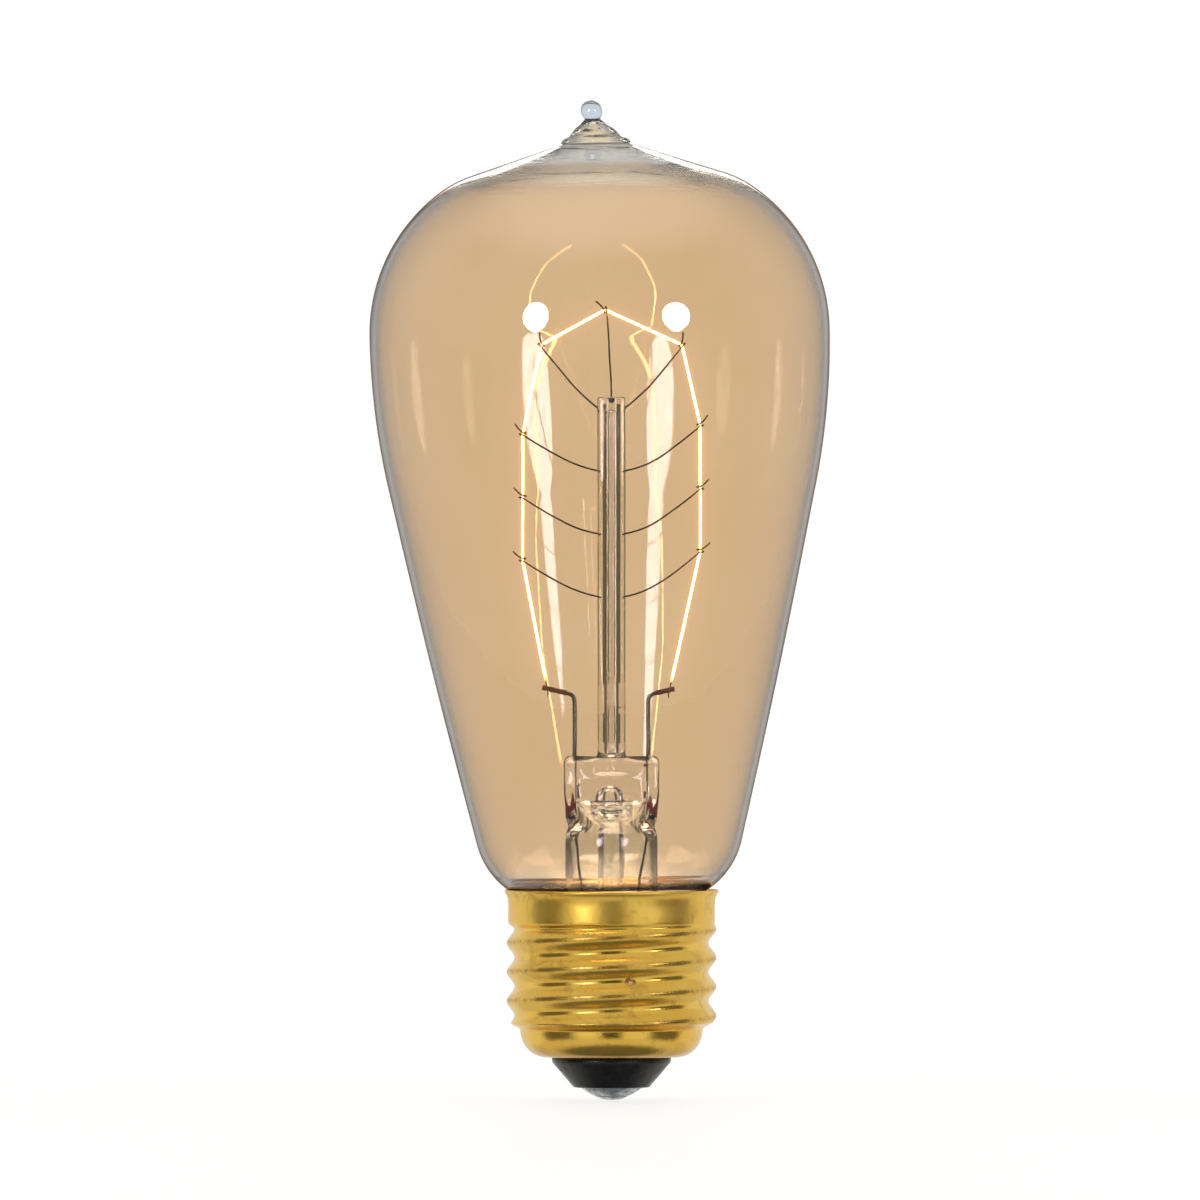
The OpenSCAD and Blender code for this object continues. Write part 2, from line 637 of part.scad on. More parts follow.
module base_insulator() {
    lip_r = insulator_d / 2;
    lip_z = shell_z - insulator_lip;
    tip_r = insulator_tip_d / 2;
    waist_r = shell_hole_d / 2 * cos(180 / shell_sides) - fit_gap;
    hole_r = insulator_hole_d / 2;
    inner_r = corner_r - fit_gap;
    top_z = floor_z + insulator_bead;
    color("black")
        rotate_extrude()
            polygon(concat(
                [[hole_r, recess_z], [contact_d / 2, recess_z], [contact_d / 2, insulator_z],
                 [tip_r - 0.2, insulator_z], [tip_r, insulator_z + 0.12],
                 [lip_r - 0.15, lip_z - 0.1], [lip_r, lip_z + 0.1],
                 [lip_r, shell_z], [waist_r, shell_z], [waist_r, floor_z]],
                arc([inner_r - 0.5, floor_z + 0.5], 0.5, -90, 0),
                curve([[inner_r - 0.1, top_z - 0.5], [inner_r - 1.2, top_z + 0.1],
                       [hole_r + 3, top_z + 0.1], [hole_r + 0.6, top_z - 0.5]], 8),
                [[hole_r, top_z - 0.9]]));
}

// The contact is a shallow dome of sheet brass with a soldered hole in its middle.
contact_r = contact_d / 2;
dome_h = contact_h - solder_h;
dome_r = (contact_r * contact_r + dome_h * dome_h) / (2 * dome_h);
dome_centre = [0, solder_h + dome_r];

function dome_arc(w, r_from, r_to) =
    arc(dome_centre, dome_r - w, -acos(r_from / (dome_r - w)), -acos(r_to / (dome_r - w)));

module contact_plate() {
    color("silver")
        rotate_extrude()
            polygon(concat(
                dome_arc(0, plate_hole_r, solder_r), after_first(dome_arc(0, solder_r, contact_r)),
                [[contact_r, recess_z], [contact_r - plate_t, recess_z]],
                dome_arc(plate_t, contact_r - plate_t, solder_inner_r),
                after_first(dome_arc(plate_t, solder_inner_r, plate_hole_r))));
}

module contact_solder() {
    pit_r = tail_d / 2 + seal_gap;
    edge_z = dome_arc(0, solder_r, plate_hole_r)[0][1];
    head_z = dome_arc(plate_t, solder_inner_r, plate_hole_r)[0][1];
    color("gainsboro")
        rotate_extrude()
            polygon(concat(
                [[0, 0]],
                curve([[solder_flat_r, 0], [solder_flat_r + 0.35, 0], [solder_r - 0.2, edge_z - 0.22],
                       [solder_r, edge_z]], 6),
                after_first(dome_arc(0, solder_r, plate_hole_r)),
                dome_arc(plate_t, plate_hole_r, solder_inner_r),
                after_first(curve([[solder_inner_r, head_z], [solder_inner_r, head_z + 0.35],
                                   [pit_r + 0.4, head_z + 0.6], [pit_r, head_z + 0.7]], 6)),
                [[pit_r, solder_pit_z], [0, solder_pit_z]]));
}

envelope();
tip_seal();
stem_flare();
exhaust_tube();
arbor();
lead(-1);  // lead_left
lead(1);  // lead_right
seal_wire(-1);  // seal_wire_left
seal_wire(1);  // seal_wire_right
contact_lead();
shell_lead();
clamp(-1);  // clamp_left
clamp(1);  // clamp_right
filament();
basing_cement();
screw_shell();
base_insulator();
contact_plate();
contact_solder();
shell_weld();
for (i = [0:len(SUPPORTS) - 1])
    support_wire(i);
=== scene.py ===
"""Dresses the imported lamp: blown amber glass, stem, filament, supports, screw cap, and a white studio round them."""

import math

import bpy
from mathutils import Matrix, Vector, noise


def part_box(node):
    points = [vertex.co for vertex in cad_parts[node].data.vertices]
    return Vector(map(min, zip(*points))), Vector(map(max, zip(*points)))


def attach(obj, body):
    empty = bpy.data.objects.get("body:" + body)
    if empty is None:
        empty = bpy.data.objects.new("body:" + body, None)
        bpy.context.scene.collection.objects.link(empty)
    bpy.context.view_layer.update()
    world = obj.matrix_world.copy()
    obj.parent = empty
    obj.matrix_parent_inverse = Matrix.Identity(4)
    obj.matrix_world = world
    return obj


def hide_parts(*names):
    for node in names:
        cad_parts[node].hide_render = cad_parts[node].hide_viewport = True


bl_info = {
    "name": "Looped-Filament Lamp",
    "version": (1, 0, 0),
    "blender": (4, 5, 0),
    "location": "3D Viewport > Sidebar > Lamp",
    "description": "Builds the glass, wires, cap and studio of an incandescent lamp round its CAD frame",
    "category": "Object",
}

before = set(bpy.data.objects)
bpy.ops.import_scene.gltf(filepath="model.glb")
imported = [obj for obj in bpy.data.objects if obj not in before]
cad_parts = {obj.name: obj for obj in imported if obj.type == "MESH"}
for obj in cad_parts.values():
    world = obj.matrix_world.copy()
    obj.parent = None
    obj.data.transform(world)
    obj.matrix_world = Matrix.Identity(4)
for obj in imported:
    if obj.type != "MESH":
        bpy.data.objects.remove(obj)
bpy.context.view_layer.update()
MM = 0.001


def low(node):
    """Lowest height of a CAD node, in millimetres."""
    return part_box(node)[0].z / MM


def high(node):
    """Highest height of a CAD node, in millimetres."""
    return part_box(node)[1].z / MM


# Heights in millimetres above the contact, most of them taken from the frame.
SHELL_Z = low("screw_shell")
RIM_Z = high("screw_shell")
NECK_Z = low("stem_flare")
PRESS_TOP = high("stem_flare")
ARBOR_TOP = high("arbor")
TOP_Z = 125.0  # top of the tip before the glass leans
SEAL_Z = NECK_Z + 0.8  # here the bulb's neck stands on the flare's rim
PRESS_Z = PRESS_TOP - 7.4  # shoulder of the press


# ---- numbers and outlines -------------------------------------------------------------------------------------------


def polar(centre, radius, degrees):
    """Point at a distance and an angle from a centre."""
    a = math.radians(degrees)
    return (centre[0] + radius * math.cos(a), centre[1] + radius * math.sin(a))


def circle(n):
    """Cosine and sine at n equal steps round a circle."""
    return [(math.cos(2 * math.pi * k / n), math.sin(2 * math.pi * k / n)) for k in range(n)]


def arc(centre, radius, start, end, step):
    """Points on an arc, at most step degrees apart."""
    n = max(2, math.ceil(abs(end - start) / step))
    return [polar(centre, radius, start + (end - start) * i / n) for i in range(n + 1)]


def on_curve(p, t):
    """Point at share t along the cubic curve with the four handles p."""
    a, b, c, d = (1 - t) ** 3, 3 * t * (1 - t) ** 2, 3 * t * t * (1 - t), t**3
    return tuple(a * w + b * x + c * y + d * z for w, x, y, z in zip(*p))


def curve(p, n):
    """n + 1 points along the cubic curve with the four handles p."""
    return [on_curve(p, i / n) for i in range(n + 1)]


def ease(t):
    """0 up to t = 0, 1 from t = 1 on, and a smooth step between them."""
    u = min(1.0, max(0.0, t))
    return u * u * (3 - 2 * u)


def line(a, b, n):
    """n + 1 points from a to b."""
    return [tuple(p + (q - p) * i / n for p, q in zip(a, b)) for i in range(n + 1)]


def joined(*runs):
    """Runs of points end to end, without the points that repeat."""
    out = []
    for run in runs:
        for p in run:
            if not out or max(abs(x - y) for x, y in zip(p, out[-1])) > 1e-6:
                out.append(tuple(p))
    return out


def wobble(point, size, seed):
    """Smooth noise from -1 to 1 at a point, with features of the given size."""
    return noise.noise(Vector(point) / size + Vector((seed, 3.7 * seed, -1.9 * seed)))


# ---- meshes ---------------------------------------------------------------------------------------------------------


def piece(name, verts, faces, finish, nodes, slot, second=None, second_faces=()):
    """A piece of the lamp from points in millimetres. It stands for its CAD nodes and rides on the frame."""
    mesh = bpy.data.meshes.new(name)
    mesh.from_pydata([(x * MM, y * MM, z * MM) for x, y, z in verts], [], faces)
    mesh.validate()
    mesh.shade_smooth()
    mesh.materials.append(finish)
    if second is not None:
        mesh.materials.append(second)
        for i in second_faces:
            mesh.polygons[i].material_index = 1
    obj = bpy.data.objects.new(name, mesh)
    bpy.context.scene.collection.objects.link(obj)
    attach(obj, "root")
    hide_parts(*nodes)
    return obj


def lathe(outline, turns, shape=None, closed=True):
    """Verts and faces of a closed outline of (radius, height) turned about the axis. A point on the axis is one vert.
    shape(x, y, z) may move each point."""
    verts, rings = [], []
    for r, z in outline:
        if abs(r) < 1e-6:
            rings.append([len(verts)] * turns)
            verts.append((0.0, 0.0, z))
            continue
        rings.append(list(range(len(verts), len(verts) + turns)))
        verts += [(r * c, r * s, z) for c, s in circle(turns)]
    if shape is not None:
        verts = [shape(*v) for v in verts]
    faces = []
    count = len(rings)
    for i in range(count if closed else count - 1):
        a, b = rings[i], rings[(i + 1) % count]
        if a[0] == a[1] and b[0] == b[1]:
            continue
        for k in range(turns):
            n = (k + 1) % turns
            corners = [a[k], a[n], b[n], b[k]]
            seen = list(dict.fromkeys(corners))
            if len(seen) > 2:
                faces.append(tuple(seen))
    return verts, faces


def loft(rings):
    """Verts and faces of closed rings of equal length, with both ends closed by a fan round their middle."""
    count = len(rings[0])
    verts = [p for ring in rings for p in ring]
    faces = [
        (i * count + k, i * count + (k + 1) % count, (i + 1) * count + (k + 1) % count, (i + 1) * count + k)
        for i in range(len(rings) - 1)
        for k in range(count)
    ]
    for ring, start, way in ((rings[0], 0, -1), (rings[-1], (len(rings) - 1) * count, 1)):
        middle = len(verts)
        verts.append(tuple(sum(c) / count for c in zip(*ring)))
        for k in range(count):
            pair = (start + k, start + (k + 1) % count)
            faces.append((*pair[::way], middle))
    return verts, faces


def open_below(rings):
    """A loft without the fan that closes its first ring."""
    verts, faces = loft(rings)
    count = len(rings[0])
    return verts, faces[: (len(rings) - 1) * count] + faces[-count:]


def frames(path):
    """A way and a normal at each point of a path, turned as little as possible along it."""
    points = [Vector(p) for p in path]
    ways = []
    for i in range(len(points)):
        a, b = points[max(0, i - 1)], points[min(len(points) - 1, i + 1)]
        ways.append((b - a).normalized())
    side = Vector((0, 1, 0)) if abs(ways[0].y) < 0.9 else Vector((1, 0, 0))
    normal = ways[0].cross(side).normalized()
    normals = []
    for way in ways:
        normal = (normal - way * normal.dot(way)).normalized()
        normals.append(normal.copy())
    return points, ways, normals


def sweep(path, radius, sides):
    """A round wire along a path."""
    rings = []
    for p, way, n in zip(*frames(path)):
        b = way.cross(n)
        rings.append([tuple(p + n * (radius * u) + b * (radius * v)) for u, v in circle(sides)])
    return loft(rings)


def merged(*parts):
    """Several meshes as one."""
    verts, faces = [], []
    for v, f in parts:
        start = len(verts)
        verts += v
        faces += [tuple(i + start for i in face) for face in f]
    return verts, faces


def turned_in(part):
    """A mesh with its faces turned over, for a hollow inside glass."""
    return part[0], [face[::-1] for face in part[1]]


def rounded(points, r, n=8):
    """A path with each corner replaced by a short curve that starts r before it."""
    pts = [Vector(p) for p in points]
    out = [pts[0]]
    for i in range(1, len(pts) - 1):
        a = pts[i] + r * (pts[i - 1] - pts[i]).normalized()
        b = pts[i] + r * (pts[i + 1] - pts[i]).normalized()
        out += [(1 - k / n) ** 2 * a + 2 * (1 - k / n) * k / n * pts[i] + (k / n) ** 2 * b for k in range(n + 1)]
    return out + [pts[-1]]


def through(points):
    """A smooth path through points, with ten steps from each to the next."""
    n = 10
    pts = [Vector(p) for p in points]
    out = []
    for i in range(len(pts) - 1):
        before, after = pts[max(0, i - 1)], pts[min(len(pts) - 1, i + 2)]
        handles = [pts[i], pts[i] + (pts[i + 1] - before) / 6, pts[i + 1] - (after - pts[i]) / 6, pts[i + 1]]
        out += [Vector(on_curve(handles, k / n)) for k in range(n)]
    return out + [pts[-1]]


def evenly(path, step):
    """The path with points a given distance apart."""
    pts = [Vector(p) for p in path]
    out, left = [pts[0].copy()], step
    for a, b in zip(pts, pts[1:]):
        span = (b - a).length
        while span >= left:
            a = a + (b - a) * (left / span)
            out.append(a.copy())
            span -= left
            left = step
        left -= span
    return out


def leaning(x, y, z):
    """The blown glass leans to the left about the seal of its neck."""
    a = math.radians(bpy.context.scene.lamp_glass.lean)
    up = z - SEAL_Z
    return (x * math.cos(a) - up * math.sin(a), y, SEAL_Z + x * math.sin(a) + up * math.cos(a))


# ---- finishes -------------------------------------------------------------------------------------------------------


class Nodes:
    """A node tree, built up node by node."""

    def __init__(self, tree):
        self.tree = tree
        self.tree.nodes.clear()

    def node(self, kind, **values):
        n = self.tree.nodes.new(kind)
        for key, value in values.items():
            setattr(n, key, value)
        return n

    def link(self, a, b):
        self.tree.links.new(a, b)

    def feed(self, node, index, value):
        """Links a socket, or writes a number."""
        if isinstance(value, bpy.types.NodeSocket):
            self.link(value, node.inputs[index])
        else:
            node.inputs[index].default_value = value

    def math(self, kind, a, b=0.0):
        n = self.node("ShaderNodeMath", operation=kind)
        self.feed(n, 0, a)
        self.feed(n, 1, b)
        return n.outputs[0]

    def between(self, value, start, end, low=0.0, high=1.0):
        """low to high, smoothly, while value goes from start to end."""
        n = self.node("ShaderNodeMapRange", interpolation_type="SMOOTHSTEP")
        self.feed(n, 0, value)
        for i, v in enumerate((start, end, low, high)):
            n.inputs[i + 1].default_value = v
        return n.outputs[0]

    def mix(self, share, a, b, kind="MIX"):
        n = self.node("ShaderNodeMix", data_type="RGBA", blend_type=kind)
        self.feed(n, 0, share)
        self.feed(n, 6, a if isinstance(a, bpy.types.NodeSocket) else (*a, 1.0))
        self.feed(n, 7, b if isinstance(b, bpy.types.NodeSocket) else (*b, 1.0))
        return n.outputs[2]


class Finish(Nodes):
    """A node material, built up round one Principled shader."""

    def __init__(self, name, colour, roughness, metallic=0.0, **sockets):
        self.mat = bpy.data.materials.new(name)
        self.mat.use_nodes = True
        super().__init__(self.mat.node_tree)
        self.out = self.node("ShaderNodeOutputMaterial")
        self.shader = self.node("ShaderNodeBsdfPrincipled")
        self.link(self.shader.outputs[0], self.out.inputs["Surface"])
        self.where = self.node("ShaderNodeTexCoord").outputs["Object"]
        self.set("Base Color", (*colour, 1.0))
        self.set("Roughness", roughness)
        self.set("Metallic", metallic)
        for key, value in sockets.items():
            self.set(key.replace("_", " "), value)
        self.last_bump = None

    def set(self, socket, value):
        self.shader.inputs[socket].default_value = value

    def stretched(self, x, y, z):
        """The place on the lamp, scaled along each axis."""
        n = self.node("ShaderNodeMapping")
        self.link(self.where, n.inputs["Vector"])
        n.inputs["Scale"].default_value = (x, y, z)
        return n.outputs[0]

    def noise(self, size_mm, detail=4.0, rough=0.55, where=None, twist=0.0):
        """Noise from 0 to 1 with features of the given size."""
        n = self.node("ShaderNodeTexNoise")
        self.link(where or self.where, n.inputs["Vector"])
        n.inputs["Scale"].default_value = 1.0 / (size_mm * MM)
        n.inputs["Detail"].default_value = detail
        n.inputs["Roughness"].default_value = rough
        n.inputs["Distortion"].default_value = twist
        return n.outputs["Fac"]

    def height(self):
        """Height above the contact, in metres."""
        n = self.node("ShaderNodeSeparateXYZ")
        self.link(self.where, n.inputs[0])
        return n.outputs["Z"]

    def colour(self, value):
        self.link(value, self.shader.inputs["Base Color"])

    def rough(self, value):
        self.link(value, self.shader.inputs["Roughness"])

    def bump(self, value, depth_mm):
        """Adds a relief to the ones already there."""
        n = self.node("ShaderNodeBump")
        n.inputs["Distance"].default_value = depth_mm * MM
        self.link(value, n.inputs["Height"])
        if self.last_bump is not None:
            self.link(self.last_bump, n.inputs["Normal"])
        self.last_bump = n.outputs[0]
        self.link(self.last_bump, self.shader.inputs["Normal"])

    def edge_on(self, start, end, amount=1.0):
        """0 where the surface is seen square on, amount where it is seen edge on."""
        n = self.node("ShaderNodeLayerWeight")
        n.inputs["Blend"].default_value = 0.5
        return self.between(n.outputs["Facing"], start, end, 0.0, amount)

    def painted_edge_shade(self, colour, dark, start, end, amount):
        """Painted shade: glass is painted darker where it is seen edge on, for the dark surroundings that it mirrors
        and bends there.
        """
        return self.mix(self.edge_on(start, end, amount), colour, dark)

    def clear_where(self, share, tint):
        """That share of the rays goes straight through, with a tint."""
        clear = self.node("ShaderNodeBsdfTransparent")
        clear.inputs[0].default_value = (*tint, 1.0)
        mix = self.node("ShaderNodeMixShader")
        self.link(share, mix.inputs[0])
        self.link(self.shader.outputs[0], mix.inputs[1])
        self.link(clear.outputs[0], mix.inputs[2])
        self.link(mix.outputs[0], self.out.inputs["Surface"])

    def lets_lamps_through(self, tint):
        """Shadow rays and diffuse rays go straight through the glass."""
        path = self.node("ShaderNodeLightPath")
        self.clear_where(self.math("MAXIMUM", path.outputs["Is Shadow Ray"], path.outputs["Is Diffuse Ray"]), tint)


def amber_glass():
    """Blown glass with an amber lustre inside. At the crown a near-white band with brushed edges is a painted
    reflection of the light above, crossed by dark painted strokes for the gaps in that reflection; where the glass is
    seen edge on it carries painted shade.
    """
    tint = tuple(bpy.context.scene.lamp_glass.tint)
    f = Finish("amber_glass", tint, 0.0, IOR=1.5, Transmission_Weight=1.0)
    streaks = f.noise(1.0, 5.0, 0.6, f.stretched(0.09, 0.09, 0.9))
    level = f.math("ADD", f.height(), f.math("MULTIPLY", streaks, 0.0020))
    painted_crown_highlight = f.between(level, 0.1171, 0.1181)  # painted reflection: near-white glass above this height, for the light mirrored along the crown
    cloudy = f.between(f.noise(22.0, 3.0), 0.3, 0.75)
    deep = tuple(c**1.10 for c in tint)
    body = f.mix(cloudy, tint, deep)
    # Painted highlight: the crown band takes near-white glass.
    body = f.mix(painted_crown_highlight, body, (0.97, 0.955, 0.925))
    foot = f.between(f.height(), 0.0262, 0.0290, 1.0, 0.0)  # paler where it goes into the cap
    body = f.mix(foot, body, (0.91, 0.82, 0.70))
    # Painted reflection gaps: dark brushed strokes, painted only where the crown is seen edge on, stand for breaks in
    # the reflection of the light above.
    crown = f.between(f.height(), 0.1110, 0.1150)
    painted_reflection_gaps = f.math("MULTIPLY", f.between(streaks, 0.46, 0.57), f.math("MULTIPLY", crown, f.edge_on(0.70, 0.82)))
    body = f.mix(painted_reflection_gaps, body, (0.13, 0.12, 0.10))
    # Painted shade: where the glass is seen edge on it is painted dark grey, for the dark room that the wall mirrors
    # and bends there, but not inside the painted crown highlight.
    rim = f.math("MULTIPLY", f.edge_on(0.70, 0.99, 0.95), f.between(painted_crown_highlight, 0.0, 1.0, 1.0, 0.0))
    f.colour(f.mix(rim, body, (0.36, 0.37, 0.37)))
    f.bump(f.noise(9.0, 2.0), 0.012)
    f.bump(f.math("MULTIPLY", streaks, crown), 0.05)
    f.lets_lamps_through(tuple(math.sqrt(c) for c in tint))
    return f.mat


def tip_glass():
    """Glass of the drawn tip: brownish and ringed, with a bluish bead."""
    f = Finish("tip_glass", (0.86, 0.79, 0.64), 0.0, IOR=1.5, Transmission_Weight=1.0)
    rings = f.noise(0.7, 2.0, 0.5, f.stretched(0.1, 0.1, 1.0))
    tone = f.mix(rings, (0.88, 0.81, 0.67), (0.78, 0.69, 0.53))
    tone = f.mix(f.between(f.height(), 0.1222, 0.1228), tone, (0.60, 0.67, 0.76))
    # Painted shade, dark blue-grey, where the tip is seen edge on.
    f.colour(f.painted_edge_shade(tone, (0.08, 0.09, 0.12), 0.38, 0.95, 0.95))
    f.bump(rings, 0.06)
    f.lets_lamps_through((0.90, 0.87, 0.80))
    return f.mat


def clear_glass(name="clear_glass", body=(0.975, 0.985, 0.98), dark=(0.19, 0.31, 0.50), start=0.52):
    """Lead glass of the stem, with fine drawn lines, and blue-grey painted shade where it is seen edge on."""
    f = Finish(name, body, 0.0, IOR=1.52, Transmission_Weight=1.0)
    lines = f.noise(1.0, 3.0, 0.5, f.stretched(1.6, 1.6, 0.06))
    tone = f.mix(lines, body, tuple(0.93 * c for c in body))
    # Painted shade: blue-grey where the glass is seen edge on, for the surroundings mirrored in the walls.
    f.colour(f.painted_edge_shade(tone, dark, start, 0.98, 0.95))
    f.bump(f.noise(3.0, 2.0), 0.02)
    f.lets_lamps_through((0.97, 0.97, 0.97))
    return f.mat


def wire_finish(name, bright, dull, roughness, metallic=1.0, grain_mm=0.35):
    """Drawn wire, dulled in patches by heat."""
    f = Finish(name, bright, roughness, metallic)
    patch = f.between(f.noise(grain_mm * 4, 4.0), 0.35, 0.68)
    f.colour(f.mix(patch, bright, dull))
    f.rough(f.between(f.noise(grain_mm), 0.2, 0.8, roughness * 0.8, min(1.0, roughness * 1.5)))
    f.bump(f.noise(grain_mm * 0.5), 0.01)
    return f.mat


def tungsten():
    """White-hot winding, a little cooler where a support takes heat from it."""
    glow = bpy.context.scene.lamp_filament
    f = Finish("tungsten", (0.12, 0.11, 0.10), 0.5, 1.0)
    heat = f.node("ShaderNodeAttribute", attribute_name="warmth").outputs["Fac"]
    tone = f.mix(heat, (1.0, 0.30, 0.06), tuple(glow.colour))
    f.link(tone, f.shader.inputs["Emission Color"])
    uneven = f.between(f.noise(1.2, 2.0), 0.2, 0.8, 0.85, 1.1)
    f.link(f.math("MULTIPLY", f.math("MULTIPLY", heat, uneven), glow.strength), f.shader.inputs["Emission Strength"])
    return f.mat


def brass():
    """Thin rolled brass: gold, brown along the crests and the bottom edge, with stains and fine scratches."""
    tone = tuple(bpy.context.scene.lamp_cap.brass)
    f = Finish("brass", tone, 0.24, 1.0)
    stain = f.between(f.noise(3.2, 5.0, 0.62, twist=0.6), 0.52, 0.72)
    warm = f.mix(f.between(f.noise(5.0, 3.0), 0.35, 0.7), tone, (0.89, 0.55, 0.09))
    colour = f.mix(f.math("MULTIPLY", stain, 0.4), warm, (0.30, 0.20, 0.05))
    crest = f.node("ShaderNodeAttribute", attribute_name="crest").outputs["Fac"]
    worn = f.math("MULTIPLY", crest, f.between(f.noise(0.7, 4.0, 0.7), 0.35, 0.7, 0.25, 1.0))
    colour = f.mix(f.math("MULTIPLY", worn, 0.7), colour, (0.34, 0.20, 0.08))
    foot = f.between(f.math("ADD", f.height(), f.math("MULTIPLY", f.noise(1.6), 0.0016)), 0.0083, 0.0063)
    colour = f.mix(f.math("MULTIPLY", foot, 0.55), colour, (0.45, 0.27, 0.09))
    f.colour(colour)
    scratch = f.noise(0.22, 3.0, 0.7, f.stretched(0.3, 0.3, 3.0))
    grain = f.noise(0.3, 3.0, 0.7)
    dull = f.math("ADD", f.math("MULTIPLY", worn, 0.2), f.math("MULTIPLY", stain, 0.12))
    dull = f.math("ADD", dull, f.between(f.height(), COLLAR_Z * MM, (COLLAR_Z + 1.5) * MM, 0.0, 0.16))
    f.rough(f.math("ADD", dull, f.between(scratch, 0.3, 0.7, 0.13, 0.22)))
    f.bump(grain, 0.008)
    f.bump(f.noise(2.5, 2.0), 0.05)
    return f.mat


def black_glass():
    """Pressed black glass with a dull skin."""
    f = Finish("black_glass", (0.003, 0.0035, 0.004), 0.3, 0.0, IOR=1.5, Specular_IOR_Level=0.4)
    f.colour(f.mix(f.between(f.noise(1.4, 4.0), 0.4, 0.7), (0.003, 0.0035, 0.004), (0.009, 0.0095, 0.010)))
    f.rough(f.between(f.noise(0.9, 4.0), 0.3, 0.7, 0.22, 0.42))
    f.bump(f.noise(1.1, 3.0), 0.03)
    return f.mat


def tinned(name, light, dark, roughness, spots_mm=1.0):
    """Tin-coated metal with grey patches."""
    f = Finish(name, light, roughness, 1.0)
    patch = f.between(f.noise(spots_mm, 5.0, 0.6, twist=0.4), 0.42, 0.62)
    f.colour(f.mix(patch, light, dark))
    f.rough(f.between(patch, 0.0, 1.0, roughness, roughness + 0.2))
    f.bump(f.noise(spots_mm * 0.6, 4.0), 0.05)
    return f.mat


def cement():
    """Fired basing cement: brown, crumbly and matt."""
    f = Finish("cement", (0.30, 0.19, 0.09), 0.85)
    f.colour(f.mix(f.between(f.noise(0.9, 6.0, 0.7), 0.35, 0.65), (0.10, 0.075, 0.04), (0.03, 0.022, 0.012)))
    f.bump(f.noise(0.5, 5.0, 0.7), 0.15)
    return f.mat


# ---- settings -------------------------------------------------------------------------------------------------------


class LampGlass(bpy.types.PropertyGroup):
    """Sizes and colour of the blown glass"""

    wall: bpy.props.FloatProperty(
        name="Wall", description="Thickness of the blown glass in millimetres", default=0.7, min=0.3, max=1.5
    )
    lean: bpy.props.FloatProperty(
        name="Lean", description="How far the glass leans to the left, in degrees", default=1.1, min=0, max=2
    )
    ripple: bpy.props.FloatProperty(
        name="Ripple", description="Depth of the hand-blown ripples in millimetres", default=0.02, min=0, max=0.2
    )
    tint: bpy.props.FloatVectorProperty(
        name="Amber",
        description="Colour of light that passes one wall",
        subtype="COLOR",
        default=(0.85, 0.705, 0.527),
        min=0,
        max=1,
    )


class LampFilament(bpy.types.PropertyGroup):
    """Sizes and glow of the filament"""

    wire: bpy.props.FloatProperty(
        name="Wire", description="Diameter of the coiled wire in millimetres", default=0.08, min=0.03, max=0.2
    )
    pitch: bpy.props.FloatProperty(
        name="Pitch", description="Distance between turns of the coil in millimetres", default=0.14, min=0.06, max=0.5
    )
    strength: bpy.props.FloatProperty(
        name="Glow", description="Brightness of the filament", default=46.0, min=0, max=500
    )
    colour: bpy.props.FloatVectorProperty(
        name="Glow colour",
        description="Colour of the glow",
        subtype="COLOR",
        default=(1.0, 0.72, 0.34),
        min=0,
        max=1,
    )


class LampCap(bpy.types.PropertyGroup):
    """Sizes and colour of the screw cap"""

    thread_d: bpy.props.FloatProperty(
        name="Thread", description="Diameter over the thread crests in millimetres", default=26.2, min=26, max=26.4
    )
    thread_depth: bpy.props.FloatProperty(
        name="Thread depth", description="Depth of the rolled thread in millimetres", default=0.95, min=0.7, max=1.1
    )
    thread_pitch: bpy.props.FloatProperty(
        name="Thread pitch", description="Distance between crests in millimetres", default=3.629, min=3.4, max=3.8
    )
    brass: bpy.props.FloatVectorProperty(
        name="Brass",
        description="Colour of the brass",
        subtype="COLOR",
        default=(0.93, 0.61, 0.12),
        min=0,
        max=1,
    )


class LampStudio(bpy.types.PropertyGroup):
    """Camera, lamps and floor"""

    distance: bpy.props.FloatProperty(
        name="Camera distance", description="From the camera to the lamp", unit="LENGTH", default=1.8, min=0.5, max=5
    )
    softbox: bpy.props.FloatProperty(
        name="Softbox", description="Brightness of the two round softboxes", default=60.0, min=0, max=500
    )
    floor: bpy.props.FloatVectorProperty(
        name="Floor",
        description="Colour of the floor",
        subtype="COLOR",
        default=(0.26, 0.26, 0.26),
        min=0,
        max=1,
    )


# ---- pieces ---------------------------------------------------------------------------------------------------------

TIP_H = 5.9
FOOT_R = 5.5  # the tip's foot, on the crown
FOOT_Z = TOP_Z - TIP_H
CROWN_SLOPE = 18.0  # degrees, under the tip's foot
NECK_R = 11.2


def foot_z(w):
    """Height of the tip's foot on a wall inset by w."""
    return FOOT_Z - w / math.cos(math.radians(CROWN_SLOPE))


